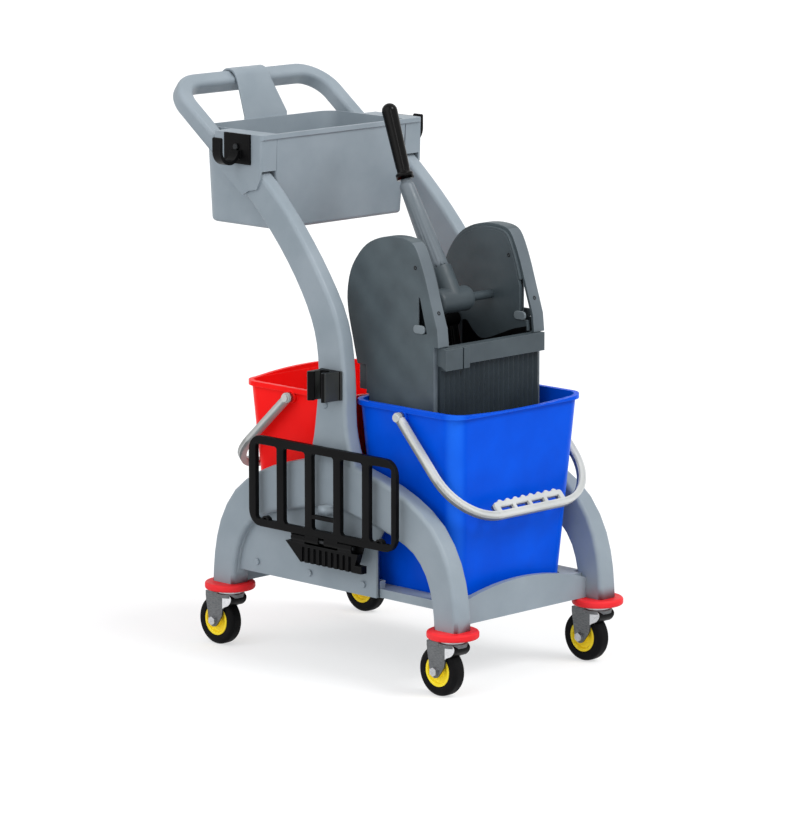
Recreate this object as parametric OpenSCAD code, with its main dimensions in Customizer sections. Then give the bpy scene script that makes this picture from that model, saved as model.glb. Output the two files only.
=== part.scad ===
// Double mop bucket trolley with a press wringer, a tool tray and a fold-down side rack.
// X runs across the trolley, Y along it with the front bucket towards -Y, and Z up.
// The origin lies on the floor, midway between the four castors.

/* [Castors] */
// Wheel diameter over the tread
wheel_d = 80; // [64:1:100]
// Width of the tyre
wheel_w = 24; // [18:1:30]
// Distance of the wheel axle behind the swivel axis
castor_trail = 23; // [14:1:26]
// Radius of the swivel stem
stem_r = 6; // [4:0.5:8]
// Radius of the wheel axle
axle_r = 4; // [3:0.5:6]
// Thickness of the fork's steel
fork_t = 3; // [2:0.5:4]

/* [Bumpers] */
// Radius of a corner bumper
bumper_r = 41; // [34:1:46]
// Thickness of a corner bumper
bumper_t = 12; // [8:1:18]

/* [Buckets] */
// Width of a bucket over its lip
bucket_w = 300; // [270:2:340]
// Length of a bucket over its lip
bucket_l = 232; // [210:2:270]
// Height of a bucket
bucket_h = 297; // [260:1:330]
// Wall thickness of a bucket
bucket_wall = 3; // [2:0.5:4]
// Draw-in of each wall from rim to floor
bucket_draft = 20; // [10:1:24]
// Radius of the upright corners
bucket_corner = 28; // [22:1:40]
// Reach of the lip outside the wall
lip_w = 5; // [4:0.5:8]
// Height of the turned-down lip
lip_h = 8; // [7:1:12]
// Depth of the scoop in the pouring edge
pour_dip = 6; // [2:0.5:6.5]
// Rise of the edge opposite the pouring edge
crest_rise = 8; // [2:0.5:9]

/* [Bucket bails] */
// Thickness of a bail's band
bail_d = 12; // [9:0.5:14]
// Width of a bail's band
bail_w = 10; // [8:0.5:11]
// Distance from the pivots to the grip
bail_reach = 201; // [180:1:210]
// Angle of the front bail from straight down
front_bail_angle = 43; // [38:1:60]
// Angle of the rear bail from straight down
rear_bail_angle = 48; // [40:1:60]

/* [Side frames] */
// Thickness of a leg across the trolley
leg_t = 37; // [34:1:42]
// Thickness of an upright across the trolley
upright_t = 31; // [28:1:34]
// Width of a leg at its foot
leg_w = 50; // [44:1:54]
// Width of an upright at its waist
waist_w = 60; // [50:1:64]
// Rounding of the mouldings' edges
edge_r = 7; // [3:0.5:9]

/* [Push handle and tray] */
// Height of the push bar's centre
bar_z = 896; // [860:1:940]
// Distance of the push bar behind the middle
bar_y = 383; // [370:1:400]
// Thickness of the bar and its arms
bar_d = 28; // [24:1:28]
// Slope of the arms
arm_slope = 37; // [34:1:40]
// Height of the tray
tray_h = 154; // [130:1:164]
// Length of the tray
tray_l = 176; // [150:1:184]
// Wall thickness of the tray
tray_wall = 3.5; // [2.5:0.5:5]

/* [Wringer] */
// Width of the wringer over its gear covers
wringer_w = 240; // [228:2:242]
// Depth of a gear cover
cover_d = 24; // [20:1:28]
// Thickness of the inner cheeks
cheek_t = 6; // [4:0.5:8]
// Number of flutes on the front wall
flute_count = 20; // [12:1:24]
// Length of the lever's tube
lever_len = 195; // [170:1:210]
// Length of the lever's grip
grip_len = 134; // [110:1:150]
// Tooth module of the press gears
gear_module = 3; // [2.5:0.25:3.25]

/* [Side rack] */
// Length of the rack
rack_l = 328; // [280:2:360]
// Height of the rack
rack_h = 146; // [110:2:160]
// Number of upright bars
rack_bars = 6; // [6:2:8]
// Width of the bars and rails
rack_bar_w = 10; // [8:1:16]

/* [Hidden] */

$fn = 48;

// Fits
run_fit = 0.05;
seat_fit = 0.02;
air = 0.5;
over = 1;

// Colours
frame_grey = [0.53, 0.58, 0.61];
slate = [0.28, 0.32, 0.35];
blue = [0.02, 0.33, 0.88];
red = [0.95, 0.11, 0.11];
bumper_red = [0.92, 0.2, 0.22];
yellow = [0.98, 0.84, 0.15];
black = [0.05, 0.05, 0.06];
bail_grey = [0.74, 0.76, 0.76];
steel = [0.62, 0.63, 0.64];

// Castor stack, floor to foot
wheel_r = wheel_d / 2;
tread_gap = 2;
crown_t = 6;
flange_t = 6.4;
swivel_gap = 0.6;
crown_r = 23;
flange_r = 20;
crown_z = wheel_d + tread_gap;
flange_z = crown_z + crown_t;
bumper_z = flange_z + flange_t + swivel_gap;
foot_z = bumper_z + bumper_t;
socket_wall = 5;
socket_h = 20;
socket_r = stem_r + socket_wall;
stem_top_gap = 2;
fork_gap = 1.5;
nut_t = 5;
nut_r = 7.5;
hub_r = 25;
fork_in = wheel_w / 2 + fork_gap;
fork_out = fork_in + fork_t;

// Plan of the chassis
bucket_gap = 16;
end_gap = 10;
frame_gap = 3;
foot_inset = 1;
frame_out = bucket_w / 2 + frame_gap + upright_t;
stem_x = frame_out - leg_t / 2;
stem_y = bucket_l + bucket_gap / 2 + end_gap;
foot_y = stem_y - foot_inset;
bucket_y = (bucket_l + bucket_gap) / 2;
web_inset = 14;
web_t = 8;
web_out = frame_out - web_inset;
web_in = web_out - web_t;

// Base deck
well_rise = 33;
well_d = 6;
deck_floor_t = 8;
well_gap = 3;
well_z = foot_z + well_rise;
deck_top = well_z + well_d;
deck_bottom = well_z - deck_floor_t;
deck_end_inset = 18;
deck_side_inset = 35;
leg_ease = 0.4;
deck_y = stem_y - deck_end_inset;
deck_side_y = stem_y - deck_side_inset;
leg_in = frame_out - leg_t - leg_ease;
rail_t = 10;
rail_bottom = foot_z + air;
rail_end_z = well_z;
rail_crown = 23;
sill_t = 12;
sill_h = 12;
window_y = 88;

// Bucket
rim_z = well_z + bucket_h;
body_x = bucket_w / 2 - lip_w;
body_y = bucket_l / 2 - lip_w;
floor_x = body_x - bucket_draft;
floor_y = body_y - bucket_draft;
lip_t = 3;
draft_rate = bucket_draft / bucket_h;
ear_r = 10;
ear_drop = 15;
ear_z = rim_z - ear_drop;
ear_face = bucket_w / 2 + 1;
pin_r = 4;
pin_head_r = 6.5;
pin_head_t = 2.5;
eye_r = 8;
eye_t = bail_w;
eye_in = ear_face + air;
eye_out = eye_in + eye_t;

// Bail in its own plane
bail_x = eye_in + eye_t / 2;
bail_bend = 86;
groove_w = 4;
groove_d = 1.5;
ladder_half = 70;
ladder_gap = 17;
ladder_windows = 4;
rung_t = 6;
rail_half = 4;
finger_r = 5.5;

// Push handle
arm_t = bar_d;
arm_lean = 8;
bar_round = 8;
arm_x = frame_out - arm_lean - arm_t / 2;
bar_corner = 50;
arm_end = 205;
function arm_at(s, n) = [
  bar_y - s * cos(arm_slope) - n * sin(arm_slope),
  bar_z - s * sin(arm_slope) + n * cos(arm_slope)
];
function arm_under(y) = bar_z - (bar_y - y) * tan(arm_slope) - bar_d / 2 / cos(arm_slope);

// Tray and its ears
tray_ahead = 226;
tray_below = 58;
tray_y0 = bar_y - tray_ahead;
tray_y1 = tray_y0 + tray_l;
tray_rim = bar_z - tray_below;
tray_floor = tray_rim - tray_h;
tray_x = arm_x - arm_t / 2 - 2;
tray_draft = 5;
front_draft = 7;
tray_corner = 28;
ear_plate_in = arm_x + arm_t / 2;
ear_plate_t = 4;
ear_plate_out = ear_plate_in + ear_plate_t;
tray_ear_l = 105;
tray_ear_h = 70;
ear_front_h = 58;
ear_round = 7;
ear_toe = [43, 30, 11];
ear_toe_drop = [20, 16];
bead_h = 9;
bead_w = 2.5;

// Handle bridge
bridge_t = 4;
bridge_top_w = 74;
bridge_low_w = 96;
bridge_leg = 40;
bridge_rise = 6;
bridge_step = 2;

// Hook
hook_setback = 22.5;
hook_drop = 26;
hook_bite = 2;
screw_drop = 21;
hook_plate_y = tray_y0 + hook_setback;
hook_plate_l = 58;
hook_plate_h = 48;
hook_plate_t = 4;
hook_w = 18;
hook_out_r = 22;
hook_in_r = 16;
hook_rise = 20;
hook_face = ear_plate_out + hook_plate_t;

// Mop clip
clip_grip_r = 12;
clip_wall = 5;
clip_h = 46;
clip_y = -4.5;
clip_z = foot_z + 333;
clip_plate_l = 46;
clip_plate_t = 4;
clip_seat = 0.3;
clip_jaw = 20;
clip_round = 6;
clip_opening = 80;
clip_x = frame_out + clip_plate_t + clip_grip_r + clip_wall;

// Side rack and its bracket
rack_t = 8;
rack_x = frame_out + 16;
rack_z = foot_z + 112;
rack_corner = 25;
rack_pitch = (rack_l - rack_bar_w) / (rack_bars - 1);
hinge_drop = 6.5;
hinge_z = rack_z - hinge_drop;
hinge_r = 3.5;
knuckle_r = 6;
knuckle_l = 30;
neck_half = 4.8;
bracket_knuckle_y = 37;
rack_knuckle_y = bracket_knuckle_y - knuckle_l - air;
bracket_top = hinge_z - knuckle_r - 1;
bracket_h = 30;
bracket_flutes = 9;
bracket_flute_d = 3;
loop_r = 9;
loop_t = 3;
catch_z = rack_z + 29;
catch_h = 6;
lug_w = 20;
lug_h = 14;
lug_gap = 2;

// Bolts
bolt_r = 3;
bolt_head_r = 5;
bolt_head_t = 3.5;
bolt_z = deck_top + 4;
bolt_grip = 16;
bolt_ys = [-60, 60, 180];

// Wringer, measured from the top of the front bucket's inner rim
wr_y = -bucket_gap / 2;
wr_bottom = -52;
wr_rear = -14;
wr_step = -8;
wr_front = -156;
wr_half = wringer_w / 2;
cover_in = wr_half - cover_d;
cheek_in = cover_in - cheek_t;
cover_wall = 4;
collar_z = 65;
collar_h = 29;
collar_t = 17;
collar_half = wr_half - 7;
wall_half = wr_half - 9;
front_wall_t = 6;
flute_d = 3;
grate_t = 6;
grate_slots = 7;
grate_rows = [-150, -104, -52];
grate_slot_l = 26;
grate_back_h = 34;
foot_bar_w = 20;
foot_bar_t = 6;
foot_bar_x = wr_half + 14;
foot_bar_ys = [-142, -62];
ledge_gap = 6;
ledge_h = 14;
ledge_half = 64;
axis_a = [wr_y - 77, rim_z + 147];
lever_teeth = 20;
plate_teeth = 39;
gear_angle = -32;
gear_t = 8;
gear_play = 0.35;
gear_hub_r = 16;
lever_span = [-6, 1];
plate_span = [-3, 5];
gear_centres = gear_module * (lever_teeth + plate_teeth) / 2;
axis_b = axis_a + gear_centres * [cos(gear_angle), sin(gear_angle)];
axle_a_r = 7;
shaft_b_r = 6;
gear_x = cover_in + 4;
spindle_end = gear_x + gear_t;

// Lever
yoke_r = 20;
yoke_half = 38;
yoke_round = 8;
lever_lean = 29.7;
grip_lean = 18.4;
tube_low_r = 17;
tube_top_r = 12;
socket_len = 34;
socket_out_r = 20;
grip_r = 11.5;
grip_bore_r = 8;
grip_cap = 12;
collar_ring_r = 14;
collar_ring_l = 9;

// Press plate
plate_hub_r = 12;
plate_len = 114;
plate_t = 7;
plate_lean = 12;
plate_gap = 2;
plate_ribs = 7;
plate_rib_h = 4;
rib_share = 0.4;

// Outlines and curves
function arc(c, r, a0, a1, n = 8) =
  [for (i = [0:n]) let (a = a0 + (a1 - a0) * i / n) c + r * [cos(a), sin(a)]];
function corner_rect(hx, hy, radii, n = 6) = concat(
  arc([hx - radii[0], hy - radii[0]], radii[0], 0, 90, n),
  arc([-hx + radii[1], hy - radii[1]], radii[1], 90, 180, n),
  arc([-hx + radii[2], -hy + radii[2]], radii[2], 180, 270, n),
  arc([hx - radii[3], -hy + radii[3]], radii[3], 270, 360, n)
);
function round_rect(hx, hy, r, n = 6) = corner_rect(hx, hy, [r, r, r, r], n);
function blend(p, t) =
  0.5 * (2 * p[1] + (p[2] - p[0]) * t + (2 * p[0] - 5 * p[1] + 4 * p[2] - p[3]) * t * t
    + (3 * p[1] - p[0] - 3 * p[2] + p[3]) * t * t * t);
function clamp_at(list, i) = list[max(0, min(len(list) - 1, i))];
function spline(list, steps) = concat(
  [
    for (i = [0:len(list) - 2]) for (k = [0:steps - 1])
      blend([for (j = [-1:2]) clamp_at(list, i + j)], k / steps)
  ],
  [list[len(list) - 1]]
);

// Solids from an outline in the YZ plane, the XZ plane or along a corner
module across(x0, x1) {
  translate([x0, 0, 0]) rotate([90, 0, 90]) linear_extrude(x1 - x0) children();
}
module lengthwise(y0, y1) {
  translate([0, y1, 0]) rotate([90, 0, 0]) linear_extrude(y1 - y0) children();
}
module rod_x(x0, x1, yz, r) {
  translate([x0, yz[0], yz[1]]) rotate([0, 90, 0]) cylinder(h = x1 - x0, r = r);
}
module both_sides() {
  children();
  mirror([1, 0, 0]) children();
}

// Castor, drawn at the middle of the part and moved to its corner
module at_corner(sx, sy) {
  translate([sx * stem_x, sy * stem_y, 0]) children();
}
module castor_stem() {
  color(steel) {
    translate([0, 0, flange_z]) cylinder(h = flange_t, r = flange_r);
    translate([0, 0, flange_z]) cylinder(h = foot_z + socket_h - stem_top_gap - flange_z, r = stem_r);
  }
}
fork_eye_r = 10;
fork_reach = [20, 17];
fork_flare = 2;
fork_drop = 8;
fork_back = castor_trail + fork_reach[1];
fork_front = castor_trail - fork_reach[0];
fork_outline = concat(
  [[fork_front, flange_z], [fork_front - fork_flare, crown_z - fork_drop]],
  arc([castor_trail, wheel_r], fork_eye_r, 200, 345, 10),
  [[fork_back, crown_z - fork_drop], [fork_back, flange_z]]
);
guard_gap = 2.5;
guard_r = wheel_r + guard_gap;
guard_outline = concat(
  arc([castor_trail, wheel_r], guard_r, 86, 140, 9), arc([castor_trail, wheel_r], guard_r + fork_t, 140, 86, 9)
);
module castor_fork() {
  color([0.42, 0.43, 0.44]) {
    difference() {
      union() {
        translate([0, 0, crown_z]) cylinder(h = crown_t, r = crown_r);
        translate([-fork_out, 0, crown_z]) cube([2 * fork_out, fork_back, crown_t]);
        both_sides() across(fork_in, fork_out) polygon(fork_outline);
        across(-fork_out, fork_out) polygon(guard_outline);
      }
      rod_x(-fork_out - over, fork_out + over, [castor_trail, wheel_r], axle_r + seat_fit);
    }
  }
}
module castor_axle() {
  color(steel) translate([0, castor_trail, wheel_r]) {
    rod_x(-fork_out - nut_t, fork_out + nut_t, [0, 0], axle_r);
    both_sides() translate([fork_out, 0, 0]) rotate([0, 90, 0]) cylinder(h = nut_t, r = nut_r, $fn = 6);
  }
}
hub_profile = [
  [axle_r + run_fit, -wheel_w / 2 - 1], [9, -wheel_w / 2 - 1], [11, -wheel_w / 4], [19, -wheel_w / 4],
  [21, -wheel_w / 2 + 1], [hub_r, -wheel_w / 2 + 1], [hub_r, wheel_w / 2 - 1], [21, wheel_w / 2 - 1],
  [19, wheel_w / 4], [11, wheel_w / 4], [9, wheel_w / 2 + 1], [axle_r + run_fit, wheel_w / 2 + 1]
];
module wheel_turn() {
  translate([0, castor_trail, wheel_r]) rotate([0, 90, 0]) rotate_extrude() children();
}
module castor_hub() {
  color(yellow) wheel_turn() polygon(hub_profile);
}
tread_r = 7;
tyre_profile = concat(
  [[hub_r, wheel_w / 2 - 2], [hub_r, -wheel_w / 2 + 2], [hub_r + 3, -wheel_w / 2]],
  arc([wheel_r - tread_r, -wheel_w / 2 + tread_r], tread_r, -90, 0, 5),
  arc([wheel_r - tread_r, wheel_w / 2 - tread_r], tread_r, 0, 90, 5),
  [[hub_r + 3, wheel_w / 2]]
);
module castor_tyre() {
  color(black) wheel_turn() polygon(tyre_profile);
}

// Corner bumper: a round-edged disc whose sleeve stands up inside the leg's foot
bumper_edge = bumper_t / 3;
bumper_profile = concat(
  [[stem_r + run_fit, 0]],
  arc([bumper_r - bumper_edge, bumper_edge], bumper_edge, -90, 0, 5),
  arc([bumper_r - bumper_edge, bumper_t - bumper_edge], bumper_edge, 0, 90, 5),
  [
    [socket_r, bumper_t], [socket_r, bumper_t + socket_h], [stem_r + run_fit, bumper_t + socket_h]
  ]
);
module bumper() {
  color(bumper_red) translate([0, 0, bumper_z]) rotate_extrude() polygon(bumper_profile);
}

// Side frame: the arch of the legs and the upright, each swept along a curve.
// A station is [y, z, width, thickness, set-in from the outer face].
leg_steps = [
  [foot_y, foot_z, leg_w, leg_t, 0],
  [foot_y - 4, foot_z + 43, leg_w + 1, leg_t, 0],
  [foot_y - 18, foot_z + 91, leg_w + 5, leg_t - 1, 0],
  [foot_y - 49, foot_z + 134, leg_w + 12, leg_t - 2, 0],
  [foot_y - 97, foot_z + 162, leg_w + 20, leg_t - 3, 0],
  [foot_y - 160, foot_z + 182, leg_w + 26, upright_t + 2, 0]
];
arch_crown = [0, foot_z + 198, leg_w + 29, upright_t + 1, 0];
arch_stations = concat(
  leg_steps, [arch_crown],
  [for (i = [len(leg_steps) - 1:-1:0]) let (s = leg_steps[i]) [-s[0], s[1], s[2], s[3], s[4]]]
);
waist = [0, foot_z + 373];
upright_set_in = 1;
upright_core = upright_t - upright_set_in;
arm_foot = arm_at(arm_end + 60, 10);
arm_top = arm_at(arm_end + 0.4, 10);
lean_steps = [[0.07, 0.265], [0.28, 0.51], [0.61, 0.765]];
function lean_at(f, w, d) = [
  waist[0] + f[0] * (arm_foot[0] - waist[0]), waist[1] + f[1] * (arm_foot[1] - waist[1]), w,
  upright_core - d / 2, d
];
upright_stations = [
  [0, foot_z + 205, waist_w + 62, upright_core, upright_set_in],
  [1, foot_z + 240, waist_w + 35, upright_core, upright_set_in],
  [2, foot_z + 290, waist_w + 11, upright_core, upright_set_in],
  [waist[0], waist[1], waist_w, upright_core, upright_set_in],
  lean_at(lean_steps[0], waist_w - 2, 1),
  lean_at(lean_steps[1], waist_w - 7, 1.5),
  lean_at(lean_steps[2], waist_w - 8, 5),
  [arm_foot[0], arm_foot[1], waist_w - 9, arm_t, arm_lean],
  [arm_top[0], arm_top[1], waist_w - 12, arm_t, arm_lean]
];
edge_steps = 3;
function limb_ring(s, heading) =
  let (h = heading / norm(heading), x = -(frame_out - s[4] - s[3] / 2))
  [for (q = round_rect(s[3] / 2, s[2] / 2, edge_r, edge_steps)) [x + q[0], s[0] + q[1] * h[1], s[1] - q[1] * h[0]]];
module limb(stations, steps, start, end) {
  path = spline(stations, steps);
  last = len(path) - 1;
  n = 4 * (edge_steps + 1);
  function heading(i) = i == 0 ? start : i == last ? end
    : [path[i + 1][0] - path[i - 1][0], path[i + 1][1] - path[i - 1][1]];
  polyhedron(
    points = [for (i = [0:last]) each limb_ring(path[i], heading(i))],
    faces = concat(
      [[for (k = [0:n - 1]) k]],
      [
        for (i = [0:last - 1]) for (k = [0:n - 1]) let (j = (k + 1) % n)
          each [[i * n + k, (i + 1) * n + k, (i + 1) * n + j], [i * n + k, (i + 1) * n + j, i * n + j]]
      ],
      [[for (k = [n - 1:-1:0]) last * n + k]]
    )
  );
}
web_outline = [
  [-window_y, deck_bottom], [foot_y - 24, deck_bottom], [foot_y - 40, foot_z + 120],
  [60, foot_z + 185], [-60, foot_z + 185], [-window_y - 20, foot_z + 145], [-window_y, foot_z + 110]
];
module side_frame_solid() {
  difference() {
    union() {
      limb(arch_stations, 2, [0, 1], [0, -1]);
      limb(upright_stations, 3, [0, 1], [cos(arm_slope), sin(arm_slope)]);
      across(-web_out, -web_in) polygon(web_outline);
      children();
    }
    for (sy = [-1, 1]) translate([-stem_x, sy * stem_y, foot_z - over])
      cylinder(h = socket_h + 2 * over, r = socket_r + air);
    for (y = bolt_ys) rod_x(-web_out - over, -web_in + over, [y, bolt_z], bolt_r + air);
  }
}
module rack_lug() {
  translate([-rack_x - over, -lug_w / 2, catch_z + catch_h + lug_gap])
    cube([rack_x + over - web_in, lug_w, lug_h]);
}
module left_side_frame() {
  color(frame_grey) side_frame_solid() rack_lug();
}
module right_side_frame() {
  color(frame_grey) mirror([1, 0, 0]) side_frame_solid();
}

// Base deck: wells for the buckets, sills against the side frames, an arched rail at each end
rail_outline = concat(
  [[-leg_in, rail_bottom], [leg_in, rail_bottom]],
  [for (i = [0:16]) let (u = 1 - i / 8) [u * leg_in, rail_end_z + rail_crown * (1 - u * u)]]
);
module deck_block() {
  translate([-leg_in, -deck_y, deck_bottom]) cube([2 * leg_in, 2 * deck_y, deck_top - deck_bottom]);
  translate([-web_in, -deck_side_y, deck_bottom]) cube([2 * web_in, 2 * deck_side_y, deck_top - deck_bottom]);
  both_sides() translate([web_in - sill_t, -window_y, deck_top]) cube([sill_t, window_y + deck_side_y, sill_h]);
  for (sy = [-1, 1]) translate([0, sy * (deck_y + rail_t / 2), 0])
    lengthwise(-rail_t / 2, rail_t / 2) polygon(rail_outline);
}
module base_deck() {
  color(frame_grey) difference() {
    deck_block();
    for (sy = [-1, 1]) translate([0, sy * bucket_y, well_z]) linear_extrude(well_d + sill_h)
      polygon(round_rect(floor_x + well_gap, floor_y + well_gap, bucket_corner));
    for (y = bolt_ys) rod_x(-web_in - over, -web_in + bolt_grip, [y, bolt_z], bolt_r + run_fit);
    for (y = bolt_ys) rod_x(web_in - bolt_grip, web_in + over, [y, bolt_z], bolt_r + run_fit);
  }
}

// Tool tray: drafted tub, round at the back, with an ear over each upright's end
module tray_shell(inset, floor_rise, top_rise) {
  hull() {
    translate([0, (tray_y0 + tray_y1 + front_draft - tray_draft) / 2, tray_floor + floor_rise]) linear_extrude(over)
      polygon(corner_rect(
        tray_x - tray_draft - inset, (tray_l - front_draft - tray_draft) / 2 - inset,
        [tray_corner - inset, tray_corner - inset, 6, 6]
      ));
    translate([0, (tray_y0 + tray_y1) / 2, tray_rim - over + top_rise]) linear_extrude(over)
      polygon(corner_rect(
        tray_x - inset, tray_l / 2 - inset, [tray_corner - inset, tray_corner - inset, 4, 4]
      ));
  }
}
ear_front_drop = front_draft * tray_ear_h / tray_h;
front_plate_drop = front_draft * ear_front_h / tray_h;
ear_outline = [
  [tray_y0, tray_rim], [tray_y0 + tray_ear_l, tray_rim], [tray_y0 + tray_ear_l, arm_under(tray_y0 + tray_ear_l)],
  [tray_y0 + ear_toe[0], arm_under(tray_y0 + ear_toe[0])],
  [tray_y0 + ear_toe[1], tray_rim - tray_ear_h - ear_toe_drop[0]],
  [tray_y0 + ear_toe[2], tray_rim - tray_ear_h - ear_toe_drop[1]], [tray_y0 + ear_front_drop, tray_rim - tray_ear_h]
];
ear_front_outline = [
  [tray_y0, tray_rim], [tray_y0 + front_plate_drop, tray_rim - ear_front_h],
  [tray_y0 + front_plate_drop + ear_plate_t, tray_rim - ear_front_h], [tray_y0 + ear_plate_t, tray_rim]
];
bead_outline = [
  [tray_y0 - bead_w, tray_rim], [tray_y0 - bead_w, tray_rim - bead_h + 2], [tray_y0, tray_rim - bead_h],
  [tray_y0 + tray_wall, tray_rim - bead_h], [tray_y0 + tray_wall, tray_rim]
];
module tray() {
  color(frame_grey) {
    difference() {
      tray_shell(0, 0, 0);
      tray_shell(tray_wall, tray_wall, over);
    }
    intersection() {
      union() {
        across(-ear_plate_out, ear_plate_out) polygon(bead_outline);
        both_sides() {
          across(ear_plate_in, ear_plate_out) polygon(ear_outline);
          across(tray_x - 1, ear_plate_out) polygon(ear_front_outline);
          translate([tray_x - 1, tray_y0, tray_rim - ear_plate_t])
            cube([ear_plate_out - tray_x + 1, tray_ear_l, ear_plate_t]);
        }
      }
      translate([0, tray_y0 - bead_w + tray_l / 2, tray_floor]) linear_extrude(tray_h)
        polygon(corner_rect(ear_plate_out, tray_l / 2, [1, 1, ear_round, ear_round], 8));
    }
  }
}

// Push handle: a bent bar of rounded square section in the plane of the arms
bar_half = arm_x - bar_corner;
bar_section = round_rect(bar_d / 2, bar_d / 2, bar_round);
module push_handle() {
  color(frame_grey) translate([0, bar_y, bar_z]) rotate([arm_slope, 0, 0]) {
    across(-bar_half, bar_half) polygon(bar_section);
    both_sides() {
      translate([bar_half, -bar_corner, 0]) rotate_extrude(angle = 90)
        translate([bar_corner, 0]) polygon(bar_section);
      translate([arm_x, 0, 0]) lengthwise(-arm_end, -bar_corner) polygon(bar_section);
    }
  }
}

// Handle bridge: a strap over the bar that runs down to the tray's rear wall
bar_centre = [bar_y, bar_z];
bridge_in_r = (bar_d / 2 - bar_round) * sqrt(2) + bar_round + air;
bridge_out_r = bridge_in_r + bridge_t;
bridge_foot = [tray_y1, tray_rim + bridge_rise];
function tangent_angle(p, r) =
  let (v = bar_centre - p) atan2(v[1], v[0]) + asin(r / norm(v)) + 90;
bridge_wrap_end = -50;
bridge_heel = bridge_foot + [bridge_t, -bridge_step];
bridge_outline = concat(
  arc(bar_centre, bridge_out_r, bridge_wrap_end, tangent_angle(bridge_foot, bridge_out_r), 16),
  [bridge_foot, bridge_foot - [0, bridge_leg], bridge_foot + [bridge_t, -bridge_leg], bridge_heel],
  arc(bar_centre, bridge_in_r, tangent_angle(bridge_heel, bridge_in_r), bridge_wrap_end, 16)
);
bridge_plan = [
  [-bridge_top_w / 2, bar_y + bridge_out_r + over], [-bridge_top_w / 2, bar_y - bridge_out_r],
  [-bridge_low_w / 2, tray_y1 - over], [bridge_low_w / 2, tray_y1 - over],
  [bridge_top_w / 2, bar_y - bridge_out_r], [bridge_top_w / 2, bar_y + bridge_out_r + over]
];
module handle_bridge() {
  color(frame_grey) intersection() {
    across(-bridge_low_w, bridge_low_w) polygon(bridge_outline);
    translate([0, 0, tray_floor]) linear_extrude(bar_z) polygon(bridge_plan);
  }
}

// Hooks on the tray's ears
hook_mid_y = hook_plate_y + hook_plate_l / 2;
hook_c = [hook_face + hook_out_r, tray_rim - hook_drop];
hook_tip_r = (hook_out_r - hook_in_r) / 2;
hook_outline = concat(
  [[hook_face - hook_bite, hook_c[1]], [hook_face - hook_bite, hook_c[1] - hook_in_r]],
  arc(hook_c, hook_out_r, 215, 360, 12),
  arc(hook_c + [hook_out_r - hook_tip_r, hook_rise], hook_tip_r, 0, 180, 6),
  arc(hook_c, hook_in_r, 360, 180, 14)
);
screw_z = tray_rim - screw_drop;
module hook() {
  color(black) difference() {
    union() {
      translate([ear_plate_out, hook_plate_y, tray_rim - hook_plate_h])
        cube([hook_plate_t, hook_plate_l, hook_plate_h]);
      lengthwise(hook_mid_y - hook_w / 2, hook_mid_y + hook_w / 2) polygon(hook_outline);
    }
    rod_x(ear_plate_out - over, hook_face + over, [hook_mid_y, screw_z], bolt_r + run_fit);
  }
}
module left_hook() {
  mirror([1, 0, 0]) hook();
}
module right_hook() {
  hook();
}

// Mop clip: a split block with a round bore, on a back plate
clip_outer_r = clip_grip_r + clip_wall;
module mop_clip() {
  color(black) difference() {
    union() {
      translate([-frame_out - clip_plate_t, clip_y - clip_plate_l / 2, clip_z])
        cube([clip_plate_t + upright_set_in - clip_seat, clip_plate_l, clip_h]);
      translate([over / 2 - clip_x, clip_y, clip_z]) linear_extrude(clip_h)
        polygon(corner_rect(clip_outer_r + over / 2, clip_jaw, [1, clip_round, clip_round, 1]));
    }
    translate([-clip_x, clip_y, clip_z - over]) cylinder(h = clip_h + 2 * over, r = clip_grip_r);
    translate([-clip_x, clip_y, clip_z - over]) linear_extrude(clip_h + 2 * over) polygon([
      [0, 0], 3 * clip_outer_r * [-cos(clip_opening / 2), sin(clip_opening / 2)],
      3 * clip_outer_r * [-cos(clip_opening / 2), -sin(clip_opening / 2)]
    ]);
  }
}

// Side rack, its bracket and its hinge pin; the hinge runs along Y
module rod_y(y0, y1, xz, r) {
  translate([xz[0], y1, xz[1]]) rotate([90, 0, 0]) cylinder(h = y1 - y0, r = r);
}
hinge_xz = [-rack_x, hinge_z];
loop_outline = concat(arc([0, 0], loop_r, 0, 180, 12), arc([0, 0], loop_r - loop_t, 180, 0, 12));
module side_rack() {
  mid_z = rack_z + rack_h / 2;
  color(black) difference() {
    union() {
      difference() {
        across(-rack_x - rack_t / 2, -rack_x + rack_t / 2) translate([0, mid_z])
          polygon(round_rect(rack_l / 2, rack_h / 2, rack_corner));
        for (i = [0:rack_bars - 2])
          across(-rack_x - rack_t, -rack_x + rack_t)
            translate([-rack_l / 2 + rack_bar_w / 2 + (i + 0.5) * rack_pitch, mid_z])
              polygon(round_rect((rack_pitch - rack_bar_w) / 2, rack_h / 2 - rack_bar_w, 5));
      }
      translate([-rack_x - rack_t / 2, -rack_pitch / 2, catch_z]) cube([rack_t, rack_pitch, catch_h]);
      for (sy = [-1, 1]) across(-rack_x - rack_t / 2, -rack_x + rack_t / 2)
        translate([sy * 2 * rack_pitch, rack_z + rack_bar_w - over]) polygon(loop_outline);
      for (sy = [-1, 1]) translate([0, sy * (rack_knuckle_y + knuckle_l / 2), 0]) {
        rod_y(-knuckle_l / 2, knuckle_l / 2, hinge_xz, knuckle_r);
        translate([-rack_x - neck_half, -knuckle_l / 2, hinge_z])
          cube([2 * neck_half, knuckle_l, hinge_drop + over]);
      }
    }
    rod_y(-rack_l, rack_l, hinge_xz, hinge_r + run_fit);
  }
}
bracket_low = bracket_top - bracket_h;
bracket_y0 = -71;
bracket_y1 = 46;
bracket_flare = [11, 34];
bracket_outline = [
  [bracket_y0, bracket_low], [bracket_y1, bracket_low],
  [bracket_y1 + bracket_flare[1], bracket_top], [bracket_y0 - bracket_flare[0], bracket_top]
];
bracket_pad = [24, 12, 4];
bracket_brim = 4;
bracket_face = rack_x + rack_t / 2 + 1;
bracket_plate = 12;
bracket_foot = [20, 12];
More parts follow.
